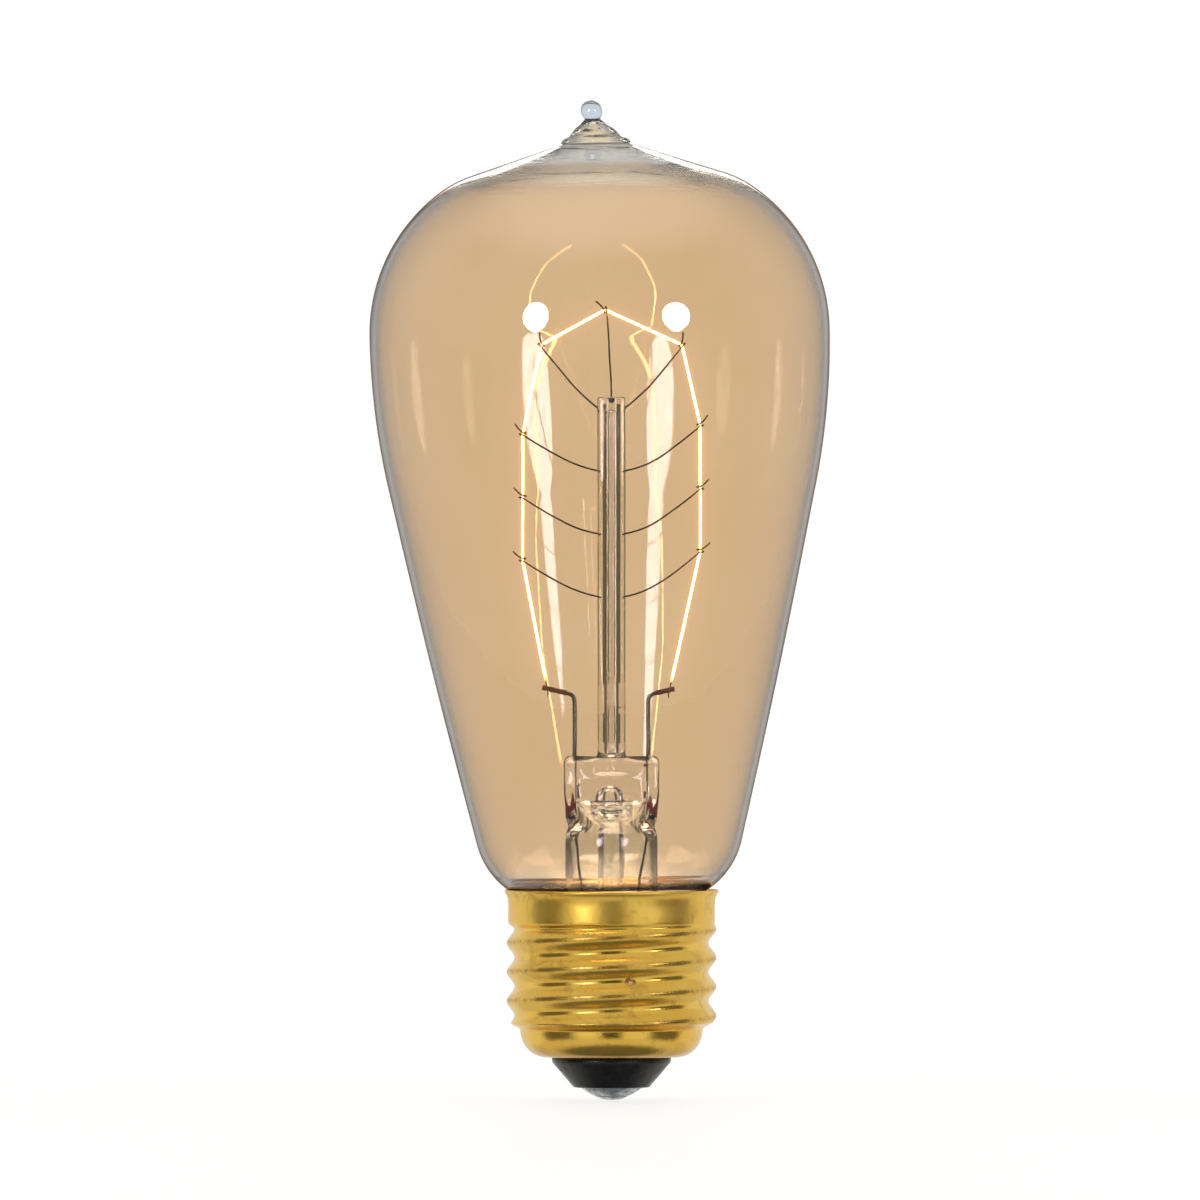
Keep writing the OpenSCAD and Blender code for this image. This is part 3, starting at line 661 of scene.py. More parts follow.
def bulb_outline(w):
    """The blown glass from its neck up to the foot of the tip, inset by w."""
    bulb_r, side_r, shoulder_r, crown_r, knuckle_r, fillet_r = 28.8, 92.0, 22.0, 14.0, 10.0, 2.0
    taper, turn, step = 12.9, 54.0, 1.5
    swell = 0.2  # of the straight side
    t, slope = math.radians(taper), math.radians(CROWN_SLOPE)
    rise = (shoulder_r - crown_r) * math.sin(math.radians(turn)) + crown_r * math.cos(slope)
    end_r = bulb_r - shoulder_r + (shoulder_r - crown_r) * math.cos(math.radians(turn)) + crown_r * math.sin(slope)
    equator = FOOT_Z - (end_r - FOOT_R) * math.tan(slope) - rise
    side, shoulder = (bulb_r - side_r, equator), (bulb_r - shoulder_r, equator)
    crown = polar(shoulder, shoulder_r - crown_r, turn)
    side_end = polar(side, side_r, -taper)
    start_z = RIM_Z + 6.0
    start_r = side_end[0] - (side_end[1] - start_z) * math.tan(t)
    knuckle = (start_r - knuckle_r * math.cos(t), start_z + knuckle_r * math.sin(t))
    tuck = math.degrees(math.acos((NECK_R + fillet_r - knuckle[0]) / (knuckle_r + fillet_r)))
    fillet = (NECK_R + fillet_r, knuckle[1] - (knuckle_r + fillet_r) * math.sin(math.radians(tuck)))
    straight = line(polar(knuckle, knuckle_r - w, -taper), polar(side, side_r - w, -taper), 30)
    return joined(
        line((NECK_R - w, SEAL_Z), (NECK_R - w, fillet[1]), 4),
        arc(fillet, fillet_r + w, 180, 180 - tuck, 4 * step),
        arc(knuckle, knuckle_r - w, -tuck, -taper, step),
        [(r + swell * math.sin(math.pi * i / 30), z) for i, (r, z) in enumerate(straight)],
        arc(side, side_r - w, -taper, 0, 0.5),
        arc(shoulder, shoulder_r - w, 0, turn, step),
        arc(crown, crown_r - w, turn, 90 - CROWN_SLOPE, step),
        line(polar(crown, crown_r - w, 90 - CROWN_SLOPE), (FOOT_R, foot_z(w)), 6),
    )


def tip_outline(w):
    """The drawn tip: outside from its foot over three soft rings to the bead, then inside back to the foot."""
    bead_r, ring_depth, steps = 1.35, 0.13, 40
    bead_z = TOP_Z - bead_r
    neck_r = 0.7 * bead_r
    bead_foot = bead_z - math.sqrt(bead_r**2 - neck_r**2)
    handles = [(FOOT_R, FOOT_Z), (0.84 * FOOT_R, FOOT_Z + 0.05 * TIP_H)]
    handles += [(0.47 * FOOT_R, FOOT_Z + 0.35 * TIP_H), (neck_r, bead_foot)]
    outside = [
        (r + ring_depth * math.sin(math.radians(360 * 3 * i / steps)) * math.sin(math.radians(180 * i / steps)), z)
        for i, (r, z) in enumerate(curve(handles, steps))
    ]
    start = -math.degrees(math.acos(neck_r / bead_r))
    bead = arc((0, bead_z), bead_r, start, 84, 6) + [(0.0, TOP_Z)]
    under = foot_z(w)
    inside = curve([(0.0, bead_foot - 0.75), (0.9, bead_foot - 0.7), (3.9, under + 0.35), (FOOT_R, under)], 24)
    return joined(outside, bead), inside


class LAMP_OT_bulb(bpy.types.Operator):
    """Build the blown glass with its drawn tip"""

    bl_idname = "lamp.bulb"
    bl_label = "Bulb Glass"

    def execute(self, context):
        glass = context.scene.lamp_glass
        top, hollow = tip_outline(glass.wall)
        outer = joined(bulb_outline(0.0), top)
        inner = joined(hollow, bulb_outline(glass.wall)[::-1])
        inner_points = {(round(r, 4), round(z, 4)) for r, z in inner}

        def blown(x, y, z):
            r = math.hypot(x, y)
            free = ease((z - 28) / 6) * (1 - ease((z - 112) / 8))  # no ripples at the neck and on the crown
            if r > 1e-6 and free > 0:
                inside = (round(r, 4), round(z, 4)) in inner_points
                depth = glass.ripple * (0.5 + 0.5 * wobble((x, y, z * 0.45), 8.0, 2.0 if inside else 5.0)) * free
                k = (r + (depth if inside else -0.5 * depth - 0.02)) / r
                x, y = x * k, y * k
            if z > FOOT_Z + 0.4:  # the tip was drawn by hand, so it isn't quite round or straight
                share = ease((z - FOOT_Z - 0.4) / 5.0)
                uneven = 0.10 * share * (1 - share) * 4
                x += -0.52 * share + uneven * wobble((x, y, z), 1.6, 9.0)
                y += uneven * wobble((x, y, z), 1.6, 4.0)
            return leaning(x, y, z)

        verts, faces = lathe(outer + inner, 192, blown)
        clear = [i for i, f in enumerate(faces) if min(verts[k][2] for k in f) > FOOT_Z + 0.2 or len(f) == 3]
        piece("bulb_glass", verts, faces, amber_glass(), ("envelope", "tip_seal"), "amber_glass", tip_glass(), clear)
        return {"FINISHED"}


PRESS_FOOT = PRESS_Z - 4.3  # the tube is round below this height
PRESS_FLAT = PRESS_Z + 2.1  # and flat above this one
TUBE_R = 5.8  # outside of the round tube
FLARE_R = 4.35  # radius of the flare's curve
STEM_WALL = 0.8
ARBOR_R = 1.75


def pressed_share(z):
    """0 in the round tube, 1 in the flat press."""
    return ease((z - PRESS_FOOT) / (PRESS_FLAT - PRESS_FOOT)) ** 1.8


def press_half(x, half_x, z, front):
    """Half the thickness of the press at a distance from its middle: a bar with a round bead down each edge, and a
    low ridge across its front where the jaws met."""
    bar_x, bead = half_x - 1.2, 0.8
    bar = 1.4 * math.sqrt(max(0.0, 1 - (x / bar_x) ** 10))
    if front:
        bar += 0.62 * math.exp(-(((z - PRESS_Z - 4.55) / 0.8) ** 2)) * max(0.0, 1 - (x / 4.1) ** 2)
    return max(bar, 1.65 * max(0.0, 1 - ((x - half_x + bead) / bead) ** 4) ** 0.5)


def round_ring(r, z):
    """A level ring of 128 points."""
    return [(r * c, r * s, z) for c, s in circle(128)]


class LAMP_OT_stem(bpy.types.Operator):
    """Build the stem with its flare and pinched press, the exhaust tube and the arbor"""

    bl_idname = "lamp.stem"
    bl_label = "Stem, Exhaust Tube and Arbor"

    def execute(self, context):
        glass = clear_glass()
        self.stem(glass)
        self.exhaust(glass)
        self.arbor()
        return {"FINISHED"}

    def wall(self, z):
        """The outside of the stem at a height."""
        pressed = pressed_share(z)
        half_x = 5.75 + 0.2 * ease((z - PRESS_Z - 0.3) / 2.5) - 0.35 * math.exp(-(((z - PRESS_Z + 1.4) / 0.8) ** 2))
        ring = []
        for x, y, _ in round_ring(1.0, z):
            x *= half_x
            flat = math.copysign(press_half(abs(x), half_x, z, y < 0), y) if abs(y) > 1e-6 else 0.0
            y = TUBE_R * y * (1 - pressed) + flat * pressed
            ring.append((x + 0.05 * wobble((x, y, z), 2.5, 1.0), y + 0.05 * wobble((x, y, z), 2.2, 7.0), z))
        return ring

    def hollow(self, z, top):
        """The inside of the stem at a height. It runs up on both sides of the exhaust tube into the press."""
        pressed = pressed_share(z)
        half_x = 5.0 - 0.95 * ease((z - PRESS_Z + 3.2) / 2.2)
        half_y = TUBE_R * (1 - pressed) + 1.4 * pressed - 0.82
        close = math.sqrt(max(0.0, 1 - max(0.0, (z - (top - 1.0)) / 1.0) ** 2))
        ring = []
        for x, y, _ in round_ring(1.0, z):
            x *= half_x * (0.85 + 0.15 * close)
            y *= half_y * max(0.04, close)
            drop = 1.35 * (1 - ease((abs(x) - 1.7) / 1.0)) * ease((z - PRESS_Z + 1.2) / 2.5)
            ring.append((x + 0.05 * wobble((x, y, z), 2.5, 1.8), y + 0.05 * wobble((x, y, z), 2.2, 7.8), z - drop))
        return ring

    def top_edge(self, edge_z):
        """The rounded top of the press, a little lower between the arbor and the beads."""
        rings, edge_r = [], 0.85
        for i in range(1, 12):
            a = math.radians(90 * i / 11)
            shrink = edge_r * (1 - math.cos(a))
            ring = []
            for x, y, _ in self.wall(edge_z):
                dip = 0.5 * ease((abs(x) - 0.6) / 3.4) * (1 - ease((abs(x) - 4.3) / 0.8))
                k = 1 - shrink / max(abs(y), 0.86)
                kx = 1 - shrink * ease((abs(x) - 4.5) / 1.5) / 6
                ring.append((x * kx, y * max(k, 0.02), PRESS_TOP - edge_r + edge_r * math.sin(a) - dip * math.sin(a)))
            rings.append(ring)
        return rings

    def stem(self, glass):
        tube_z, edge_z, roof = SEAL_Z + FLARE_R, PRESS_TOP - 0.9, PRESS_Z + 1.6
        flare = (TUBE_R + FLARE_R, tube_z)
        tube = [tube_z + (PRESS_FOOT - tube_z) * i / 8 for i in range(9)]
        rim = [(NECK_R - 0.05, NECK_Z), (NECK_R, NECK_Z + 0.05), (NECK_R, SEAL_Z), (NECK_R - 1.0, SEAL_Z)]
        outer = [round_ring(r, z) for r, z in rim + arc(flare, FLARE_R, 270, 180, 5)[1:-1]]
        outer += [self.wall(z) for z in tube]
        outer += [self.wall(PRESS_FOOT + 0.13 * i) for i in range(1, 52)]
        upper = [edge_z - 0.1 * i for i in range(41, -1, -1)]
        outer += [self.wall(z) for z in upper if z > PRESS_FOOT + 6.7]
        outer += self.top_edge(edge_z)
        inner = [round_ring(NECK_R - 1.0, NECK_Z - 0.0005)]
        inner += [round_ring(r, z) for r, z in arc(flare, FLARE_R + STEM_WALL, 270, 180, 5)[:-1]]
        inner += [self.hollow(z, roof) for z in tube]
        inner += [self.hollow(PRESS_FOOT + (roof - PRESS_FOOT) * i / 44, roof) for i in range(1, 45)]
        skin = open_below(outer)
        verts, faces = merged(skin, turned_in(open_below(inner)))
        count, start = len(outer[0]), len(skin[0])
        foot = [((k + 1) % count, k, start + k, start + (k + 1) % count) for k in range(count)]
        verts, faces = merged((verts, faces + foot), turned_in(self.bubble()))
        piece("stem_glass", verts, faces, glass, ("stem_flare",), "clear_glass")

    def bubble(self):
        """The hole blown through the press into the exhaust tube: a bowl with a dome over it, hollow in the glass."""
        rings = []
        foot, lip, top = PRESS_Z + 0.45, PRESS_Z + 1.8, PRESS_Z + 3.85
        n = 40
        for i in range(1, n):
            z = foot + (top - foot) * (1 - math.cos(math.pi * i / n)) / 2
            if z < lip:
                r = (1.0 + 0.95 * ease((z - foot) / (lip - foot))) * math.sqrt(min(1.0, (z - foot) / 0.12))
            else:
                r = 1.8 * math.sqrt(max(0.0, 1 - ((z - lip) / (top - lip)) ** 2))
            ring = []
            for c, s in circle(96):
                x, y = r * c, 0.62 * r * s
                drift, lift = 0.10 * wobble((x, y, z), 1.3, 3.0), 0.08 * wobble((x, y, z), 1.1, 8.0)
                ring.append((x - 0.17 + drift, y - 0.05, z + lift))
            rings.append(ring)
        return loft(rings)

    def exhaust(self, glass):
        """The thin tube: outside from its melted end up to its mouth in the press, then its bore back down."""
        r, bore = 1.65, 1.05
        end_z, wide_z, mouth_z = SHELL_Z + 4.6, PRESS_Z - 1.3, PRESS_Z + 0.28
        bore_z = end_z + r + 0.6
        outline = joined(
            [(0.0, end_z)],
            arc((0, end_z + r), r, -84, 0, 6),
            line((r, end_z + 2), (r, wide_z), 20),
            curve([(r, wide_z), (r, PRESS_Z - 0.6), (r + 0.3, PRESS_Z - 0.1), (r + 0.4, mouth_z)], 8),
            curve([(bore + 0.45, mouth_z), (bore + 0.3, PRESS_Z - 0.1), (bore, PRESS_Z - 0.6), (bore, wide_z)], 8),
            line((bore, wide_z), (bore, bore_z), 20),
            arc((0, bore_z), bore, -12, -84, 12),
            [(0.0, bore_z - bore)],
        )

        def drawn(x, y, z):
            return (x + 0.05 * wobble((0, 0, z), 6.0, 2.0), y + 0.05 * wobble((0, 0, z), 6.0, 6.0), z)

        verts, faces = lathe(outline, 64, drawn, closed=False)
        piece("exhaust_glass", verts, faces, glass, ("exhaust_tube",), "clear_glass")

    def arbor(self):
        """The glass cane, with a chipped upper end and a closed bore."""
        r, bore, foot = ARBOR_R, 0.6, PRESS_TOP - 0.32
        outline = joined(
            [(0.0, foot), (r + 0.1, foot), (r + 0.35, foot + 0.04), (r + 0.3, foot + 0.16), (r + 0.08, foot + 0.36)],
            line((r, foot + 0.6), (r, ARBOR_TOP - 0.3), 60),
            [(r - 0.04, ARBOR_TOP - 0.12), (r - 0.16, ARBOR_TOP - 0.02), (r - 0.3, ARBOR_TOP), (0.62, ARBOR_TOP)],
            [(0.5, ARBOR_TOP - 0.08), (0.16, ARBOR_TOP - 0.75), (0.0, ARBOR_TOP - 0.8)],
        )
        bore_outline = joined(
            [(0.0, foot + 0.3), (0.4, foot + 0.34), (0.56, foot + 0.5)],
            line((bore, foot + 0.9), (bore, ARBOR_TOP - 2.3), 40),
            [(bore * 0.75, ARBOR_TOP - 1.9), (bore * 0.4, ARBOR_TOP - 1.7), (0.0, ARBOR_TOP - 1.6)],
        )

        def drawn(x, y, z):
            k = 1 + 0.012 * wobble((0, 0, z), 5.0, 1.0)
            chip = 0.07 * ease((z - ARBOR_TOP + 0.25) / 0.25) * (wobble((x, y, z), 0.5, 2.0) - 0.6)
            return (x * k, y * k, z + chip)

        solid, hollow = lathe(outline, 96, drawn, closed=False), lathe(bore_outline, 48, closed=False)
        verts, faces = merged(solid, turned_in(hollow))
        # The cane's glass, with dark grey painted shade where it is seen edge on.
        body = clear_glass("arbor_glass", (0.95, 0.955, 0.93), (0.20, 0.22, 0.22), 0.55)
        piece("arbor_glass", verts, faces, body, ("arbor",), "clear_glass")


# ---- wires ----------------------------------------------------------------------------------------------------------

RUNGS = [
    ("support_left_1", -1, 0), ("support_left_2", -1, 1), ("support_left_3", -1, 2), ("support_left_4", -1, 3),
    ("support_top", 0, 4),
    ("support_right_4", 1, 3), ("support_right_3", 1, 2), ("support_right_2", 1, 1), ("support_right_1", 1, 0),
]  # fmt: skip
BACK = Vector((0, 1, 0))
LEAD_X = 4.6
ARM_RISE = math.radians(13)
ARM_LENGTH = {-1: 3.5, 1: 2.7}  # of the leads' bent ends, to the left and to the right
HOOK_RISE = {-1: 4.6, 1: 5.7}  # of the three lower supports on each side
FIRST_RUNG_Z = ARBOR_TOP - 24.9
RUNG_STEP = 7.85
SUPPORT_R, LEAD_R, SEAL_R, OUTER_LEAD_R, LEG_R = 0.11, 0.26, 0.2, 0.15, 0.075  # radii of the wires
WELD_TURN = 281  # degrees round the shell
WELD_Z = SHELL_Z + 9.6


def root_of(side, rung):
    """Where a support leaves the arbor. Side is -1 on the left, 1 on the right and 0 on top."""
    if side == 0:
        return Vector((0, 0, ARBOR_TOP))
    if rung == 3:
        return Vector((side * ARBOR_R, 0, ARBOR_TOP - 1.35))
    return Vector((side * ARBOR_R, 0, FIRST_RUNG_Z + rung * RUNG_STEP))


def root_way(side, rung):
    """The way in which it leaves."""
    slope = math.radians(90 if side == 0 else 38 if rung == 3 else 10)
    return Vector((side * math.cos(slope), 0, math.sin(slope)))


def hook_of(side, rung):
    """Where its hook holds the filament."""
    root = root_of(side, rung)
    if side == 0:
        return Vector((-0.8, 0, ARBOR_TOP + 10.9))
    if rung == 3:
        return Vector((side * 8.8, 0, root.z + 7.85))
    return Vector((side * 11.1, 0, root.z + HOOK_RISE[side]))


def arm_way(side):
    """The way of a lead's bent end."""
    return Vector((side * math.cos(ARM_RISE), 0, math.sin(ARM_RISE)))


def arm_start(side):
    """The lead's bend."""
    return Vector((side * LEAD_X, 0, PRESS_TOP + 7.6))


def leg_at(side):
    """Where the filament crosses the end of the lead."""
    return arm_start(side) + ARM_LENGTH[side] * arm_way(side)


HOOKS = [hook_of(side, rung) for _, side, rung in RUNGS]
STOPS = [leg_at(-1), *HOOKS, leg_at(1)]


def leg_way(side):
    """The way of the filament as it leaves the lead."""
    return ((HOOKS[0] if side < 0 else HOOKS[-1]) - leg_at(side)).normalized()


class LAMP_OT_supports(bpy.types.Operator):
    """Build the nine support wires with their hooks"""

    bl_idname = "lamp.supports"
    bl_label = "Support Wires"

    def execute(self, context):
        finish = wire_finish("support_wire", (0.11, 0.10, 0.09), (0.035, 0.03, 0.025), 0.38, 0.9)
        for i, (name, side, rung) in enumerate(RUNGS):
            along = ((STOPS[i + 2] - STOPS[i + 1]).normalized() + (STOPS[i + 1] - STOPS[i]).normalized()).normalized()
            up = along if side < 0 else -along
            out = along.cross(BACK).normalized()
            hook = self.hook(HOOKS[i], up, out)
            root, way = root_of(side, rung), root_way(side, rung)
            path = [root - 0.8 * way, root - 0.4 * way, *self.arm(root, way, hook[0], i), *hook[1:]]
            verts, faces = sweep(path, SUPPORT_R, 10)
            piece(name + "_wire", verts, faces, finish, (name,), "support_wire")
        return {"FINISHED"}

    def hook(self, centre, up, out):
        """One turn round the filament, then a short tail that bends up."""
        r, pitch = 0.39, 0.34
        ring = []
        for k in range(31):
            a = math.radians(270 + 12 * k)
            ring.append(centre + r * (math.cos(a) * out + math.sin(a) * BACK) + pitch * (k / 30 - 0.5) * up)
        slope = math.radians(24)
        way = math.cos(slope) * out + math.sin(slope) * up
        return ring + [ring[-1] + 0.3 * k * way + 0.03 * k * k * up for k in (1, 2, 3, 4)]

    def arm(self, root, way, end, seed):
        """From the arbor to the hook, bent by hand and so never quite true."""
        knee = root + 0.3 * (end - root).length * way
        bent = []
        for k, p in enumerate(curve([tuple(v) for v in (root, knee, end - 0.6 * (end - knee), end)], 28)):
            share = math.sin(math.pi * k / 28) ** 2
            bend = [wobble((*p[:2], p[2] + shift * seed), 4, n) for shift, n in ((9, 1), (7, 5), (5, 3))]
            bent.append(Vector(p) + share * 0.12 * Vector(bend))
        return bent


class LAMP_OT_filament(bpy.types.Operator):
    """Wind the glowing filament from clamp to clamp"""

    bl_idname = "lamp.filament"
    bl_label = "Filament"

    def execute(self, context):
        size = context.scene.lamp_filament
        steps, sides = 9, 4  # points in a turn of the coil, and round its wire
        clamp_d, coil_r = 0.66, 0.165
        over = clamp_d / 2 + 0.35  # the straight leg stands out of the clamp
        ends = {side: leg_at(side) + (over + 0.22) * leg_way(side) for side in (-1, 1)}
        middle = evenly(rounded([ends[-1], *HOOKS, ends[1]], 0.25), size.pitch / steps)
        r = coil_r - size.wire / 2
        coil, heat = [], []
        for i, (p, way, n) in enumerate(zip(*frames(middle))):
            a = 2 * math.pi * i / steps
            coil.append(p + r * (math.cos(a) * n + math.sin(a) * way.cross(n)))
            near = min((p - h).length for h in HOOKS)
            end = min((p - e).length for e in ends.values())
            heat.append(min(0.35 + 0.65 * ease(near / 0.9), ease(0.1 + end / 2.2)))
        winding = sweep(coil, size.wire / 2, sides)
        warmth = [h for h in heat for _ in range(sides)] + [heat[0], heat[-1]]
        legs = []
        for side in (-1, 1):
            path = [leg_at(side) + t * leg_way(side) for t in (-1.03, -0.6, 0.0, over, over + 0.22)]
            path[0] = path[0] + Vector((0.12 * side, 0.05, 0.02))
            path.append(coil[0] if side < 0 else coil[-1])
            legs.append(sweep(rounded(path, 0.08, 4), LEG_R, 8))
        verts, faces = merged(winding, *legs)
        obj = piece("filament_coil", verts, faces, tungsten(), ("filament",), "tungsten")
        warmth += [0.0] * (len(verts) - len(warmth))
        obj.data.attributes.new("warmth", "FLOAT", "POINT").data.foreach_set("value", warmth)
        return {"FINISHED"}


class LAMP_OT_leads(bpy.types.Operator):
    """Build the leads, the sealing wires and the clamps"""

    bl_idname = "lamp.leads"
    bl_label = "Leads and Clamps"

    def execute(self, context):
        nickel = wire_finish("nickel_wire", (0.20, 0.21, 0.17), (0.10, 0.11, 0.09), 0.32, 1.0, 1.2)
        clad = wire_finish("copper_clad_wire", (0.34, 0.07, 0.08), (0.20, 0.04, 0.05), 0.45, 0.3)
        copper = wire_finish("copper_wire", (0.10, 0.075, 0.055), (0.045, 0.04, 0.03), 0.45)
        clamp_metal = wire_finish("clamp_metal", (0.27, 0.145, 0.125), (0.15, 0.075, 0.065), 0.5, 0.5, 0.5)
        seal_top, seal_bottom = high("seal_wire_left"), low("seal_wire_left")
        for side, name in ((-1, "left"), (1, "right")):
            bend, end = arm_start(side), leg_at(side) - 0.45 * arm_way(side)
            path = rounded([(side * LEAD_X, 0, seal_top), bend, end], 0.9, 12)
            path = [path[0]] + [path[0] + (path[1] - path[0]) * k / 10 for k in range(1, 10)] + path[1:]
            sway = [(0.05 * wobble(p, 3.0, 2.0 + side), 0.05 * wobble(p, 3.0, 6.0 + side), 0) for p in path]
            bowed = [p + Vector(s) for p, s in zip(path, sway)]
            piece(f"lead_{name}_wire", *sweep(bowed, LEAD_R, 16), nickel, (f"lead_{name}",), "nickel_wire")
            sealed = []
            for t in [k / 20 for k in range(21)]:
                bow = 0.25 * math.sin(math.pi * t) ** 0.5
                sealed.append((side * (LEAD_X + bow), 0, seal_bottom + (seal_top - seal_bottom) * t))
            piece(f"seal_{name}_wire", *sweep(sealed, SEAL_R, 14), clad, (f"seal_wire_{name}",), "copper_clad_wire")
            self.clamp(side, name, clamp_metal)
        self.outer_leads(copper, seal_bottom)
        return {"FINISHED"}

    def clamp(self, side, name, finish):
        """A sleeve squeezed flat, with softly rounded ends and two crimp marks."""
        way = arm_way(side)
        start, end = arm_start(side) + 0.95 * way, arm_start(side) + (ARM_LENGTH[side] + 0.65) * way
        up = way.cross(BACK).normalized()
        rings = []
        steps = 34
        for i in range(steps + 1):
            t = i / steps
            edge = min(t, 1 - t) * (end - start).length
            k = math.sqrt(max(0.0, 1 - (1 - min(1.0, edge / 0.14)) ** 2)) * 0.35 + 0.65
            crimp = sum(math.exp(-(((t - c) / 0.06) ** 2)) for c in (0.45, 0.8)) * 0.12
            p = start + (end - start) * t
            ring = []
            for c, s in circle(24):
                u = 0.33 * math.copysign(abs(c) ** 0.6, c) * k * (1 - crimp)
                v = 0.43 * math.copysign(abs(s) ** 0.75, s) * k
                ring.append(tuple(p + up * u + Vector((0, v, 0))))
            rings.append(ring)
        piece(f"clamp_{name}_sleeve", *loft(rings), finish, (f"clamp_{name}",), "clamp_metal")

    def outer_leads(self, finish, top):
        """The two leads in the cap: one to the centre contact, one to the weld in the shell."""
        contact = through([
            (-LEAD_X, 0, top), (0.3 - LEAD_X, 0, top - 2), (-3.7, 0, SEAL_Z + 8), (-3.2, 0, SEAL_Z),
            (-2.6, 0, SHELL_Z + 7), (-0.4, 0, SHELL_Z + 2.6), (0, 0, SHELL_Z), (0, 0, 0.4),
        ])  # fmt: skip
        piece("contact_lead_wire", *sweep(contact, OUTER_LEAD_R, 10), finish, ("contact_lead",), "copper_wire")
        turn = math.radians(WELD_TURN)
        inside = (thread_r(WELD_Z, WELD_TURN) - 0.3) * Vector((math.cos(turn), math.sin(turn), 0))
        shell = through([
            (LEAD_X, 0, top), (LEAD_X - 0.4, 0, top - 2), (3.3, 0, SEAL_Z + 8), (3.4, -0.4, SEAL_Z + 2),
            (3.2, -3, NECK_Z - 1.2), 0.72 * inside + Vector((0, 0, WELD_Z + 0.5)), inside + Vector((0, 0, WELD_Z)),
        ])  # fmt: skip
        piece("shell_lead_wire", *sweep(shell, OUTER_LEAD_R, 10), finish, ("shell_lead",), "copper_wire")


# ---- cap ------------------------------------------------------------------------------------------------------------

CORNER_H = 3.4  # height of the shell's rounded bottom
COLLAR_Z = RIM_Z - 5.0
THREAD_Z = SHELL_Z + CORNER_H
END_R, COLLAR_R, RIM_R, CORNER_R, HOLE_R = 11.4, 12.9, 13.4, 8.3, 7.0
SHELL_WALL = 0.25


def thread_wave(z, degrees):
    """1 on a crest of the thread, -1 in a groove."""
    cap = bpy.context.scene.lamp_cap
    return math.cos(2 * math.pi * (z - SHELL_Z - 10.6) / cap.thread_pitch - math.radians(degrees - 180))


def thread_share(z):
    """1 along the thread, 0 below it and on the collar."""
    return ease((z - THREAD_Z) / 1.0) * (1 - ease((z - COLLAR_Z) / 1.0))


def thread_r(z, degrees):
    """Radius of the shell's outside, from its rounded bottom over the thread to the collar."""
    cap = bpy.context.scene.lamp_cap
    lower, upper = ease((z - THREAD_Z) / 1.0), ease((z - COLLAR_Z) / 1.0)
    middle = (cap.thread_d - cap.thread_depth) / 2
    rolled = middle + cap.thread_depth / 2 * thread_wave(z, degrees)
    return (END_R * (1 - lower) + rolled * lower) * (1 - upper) + COLLAR_R * upper


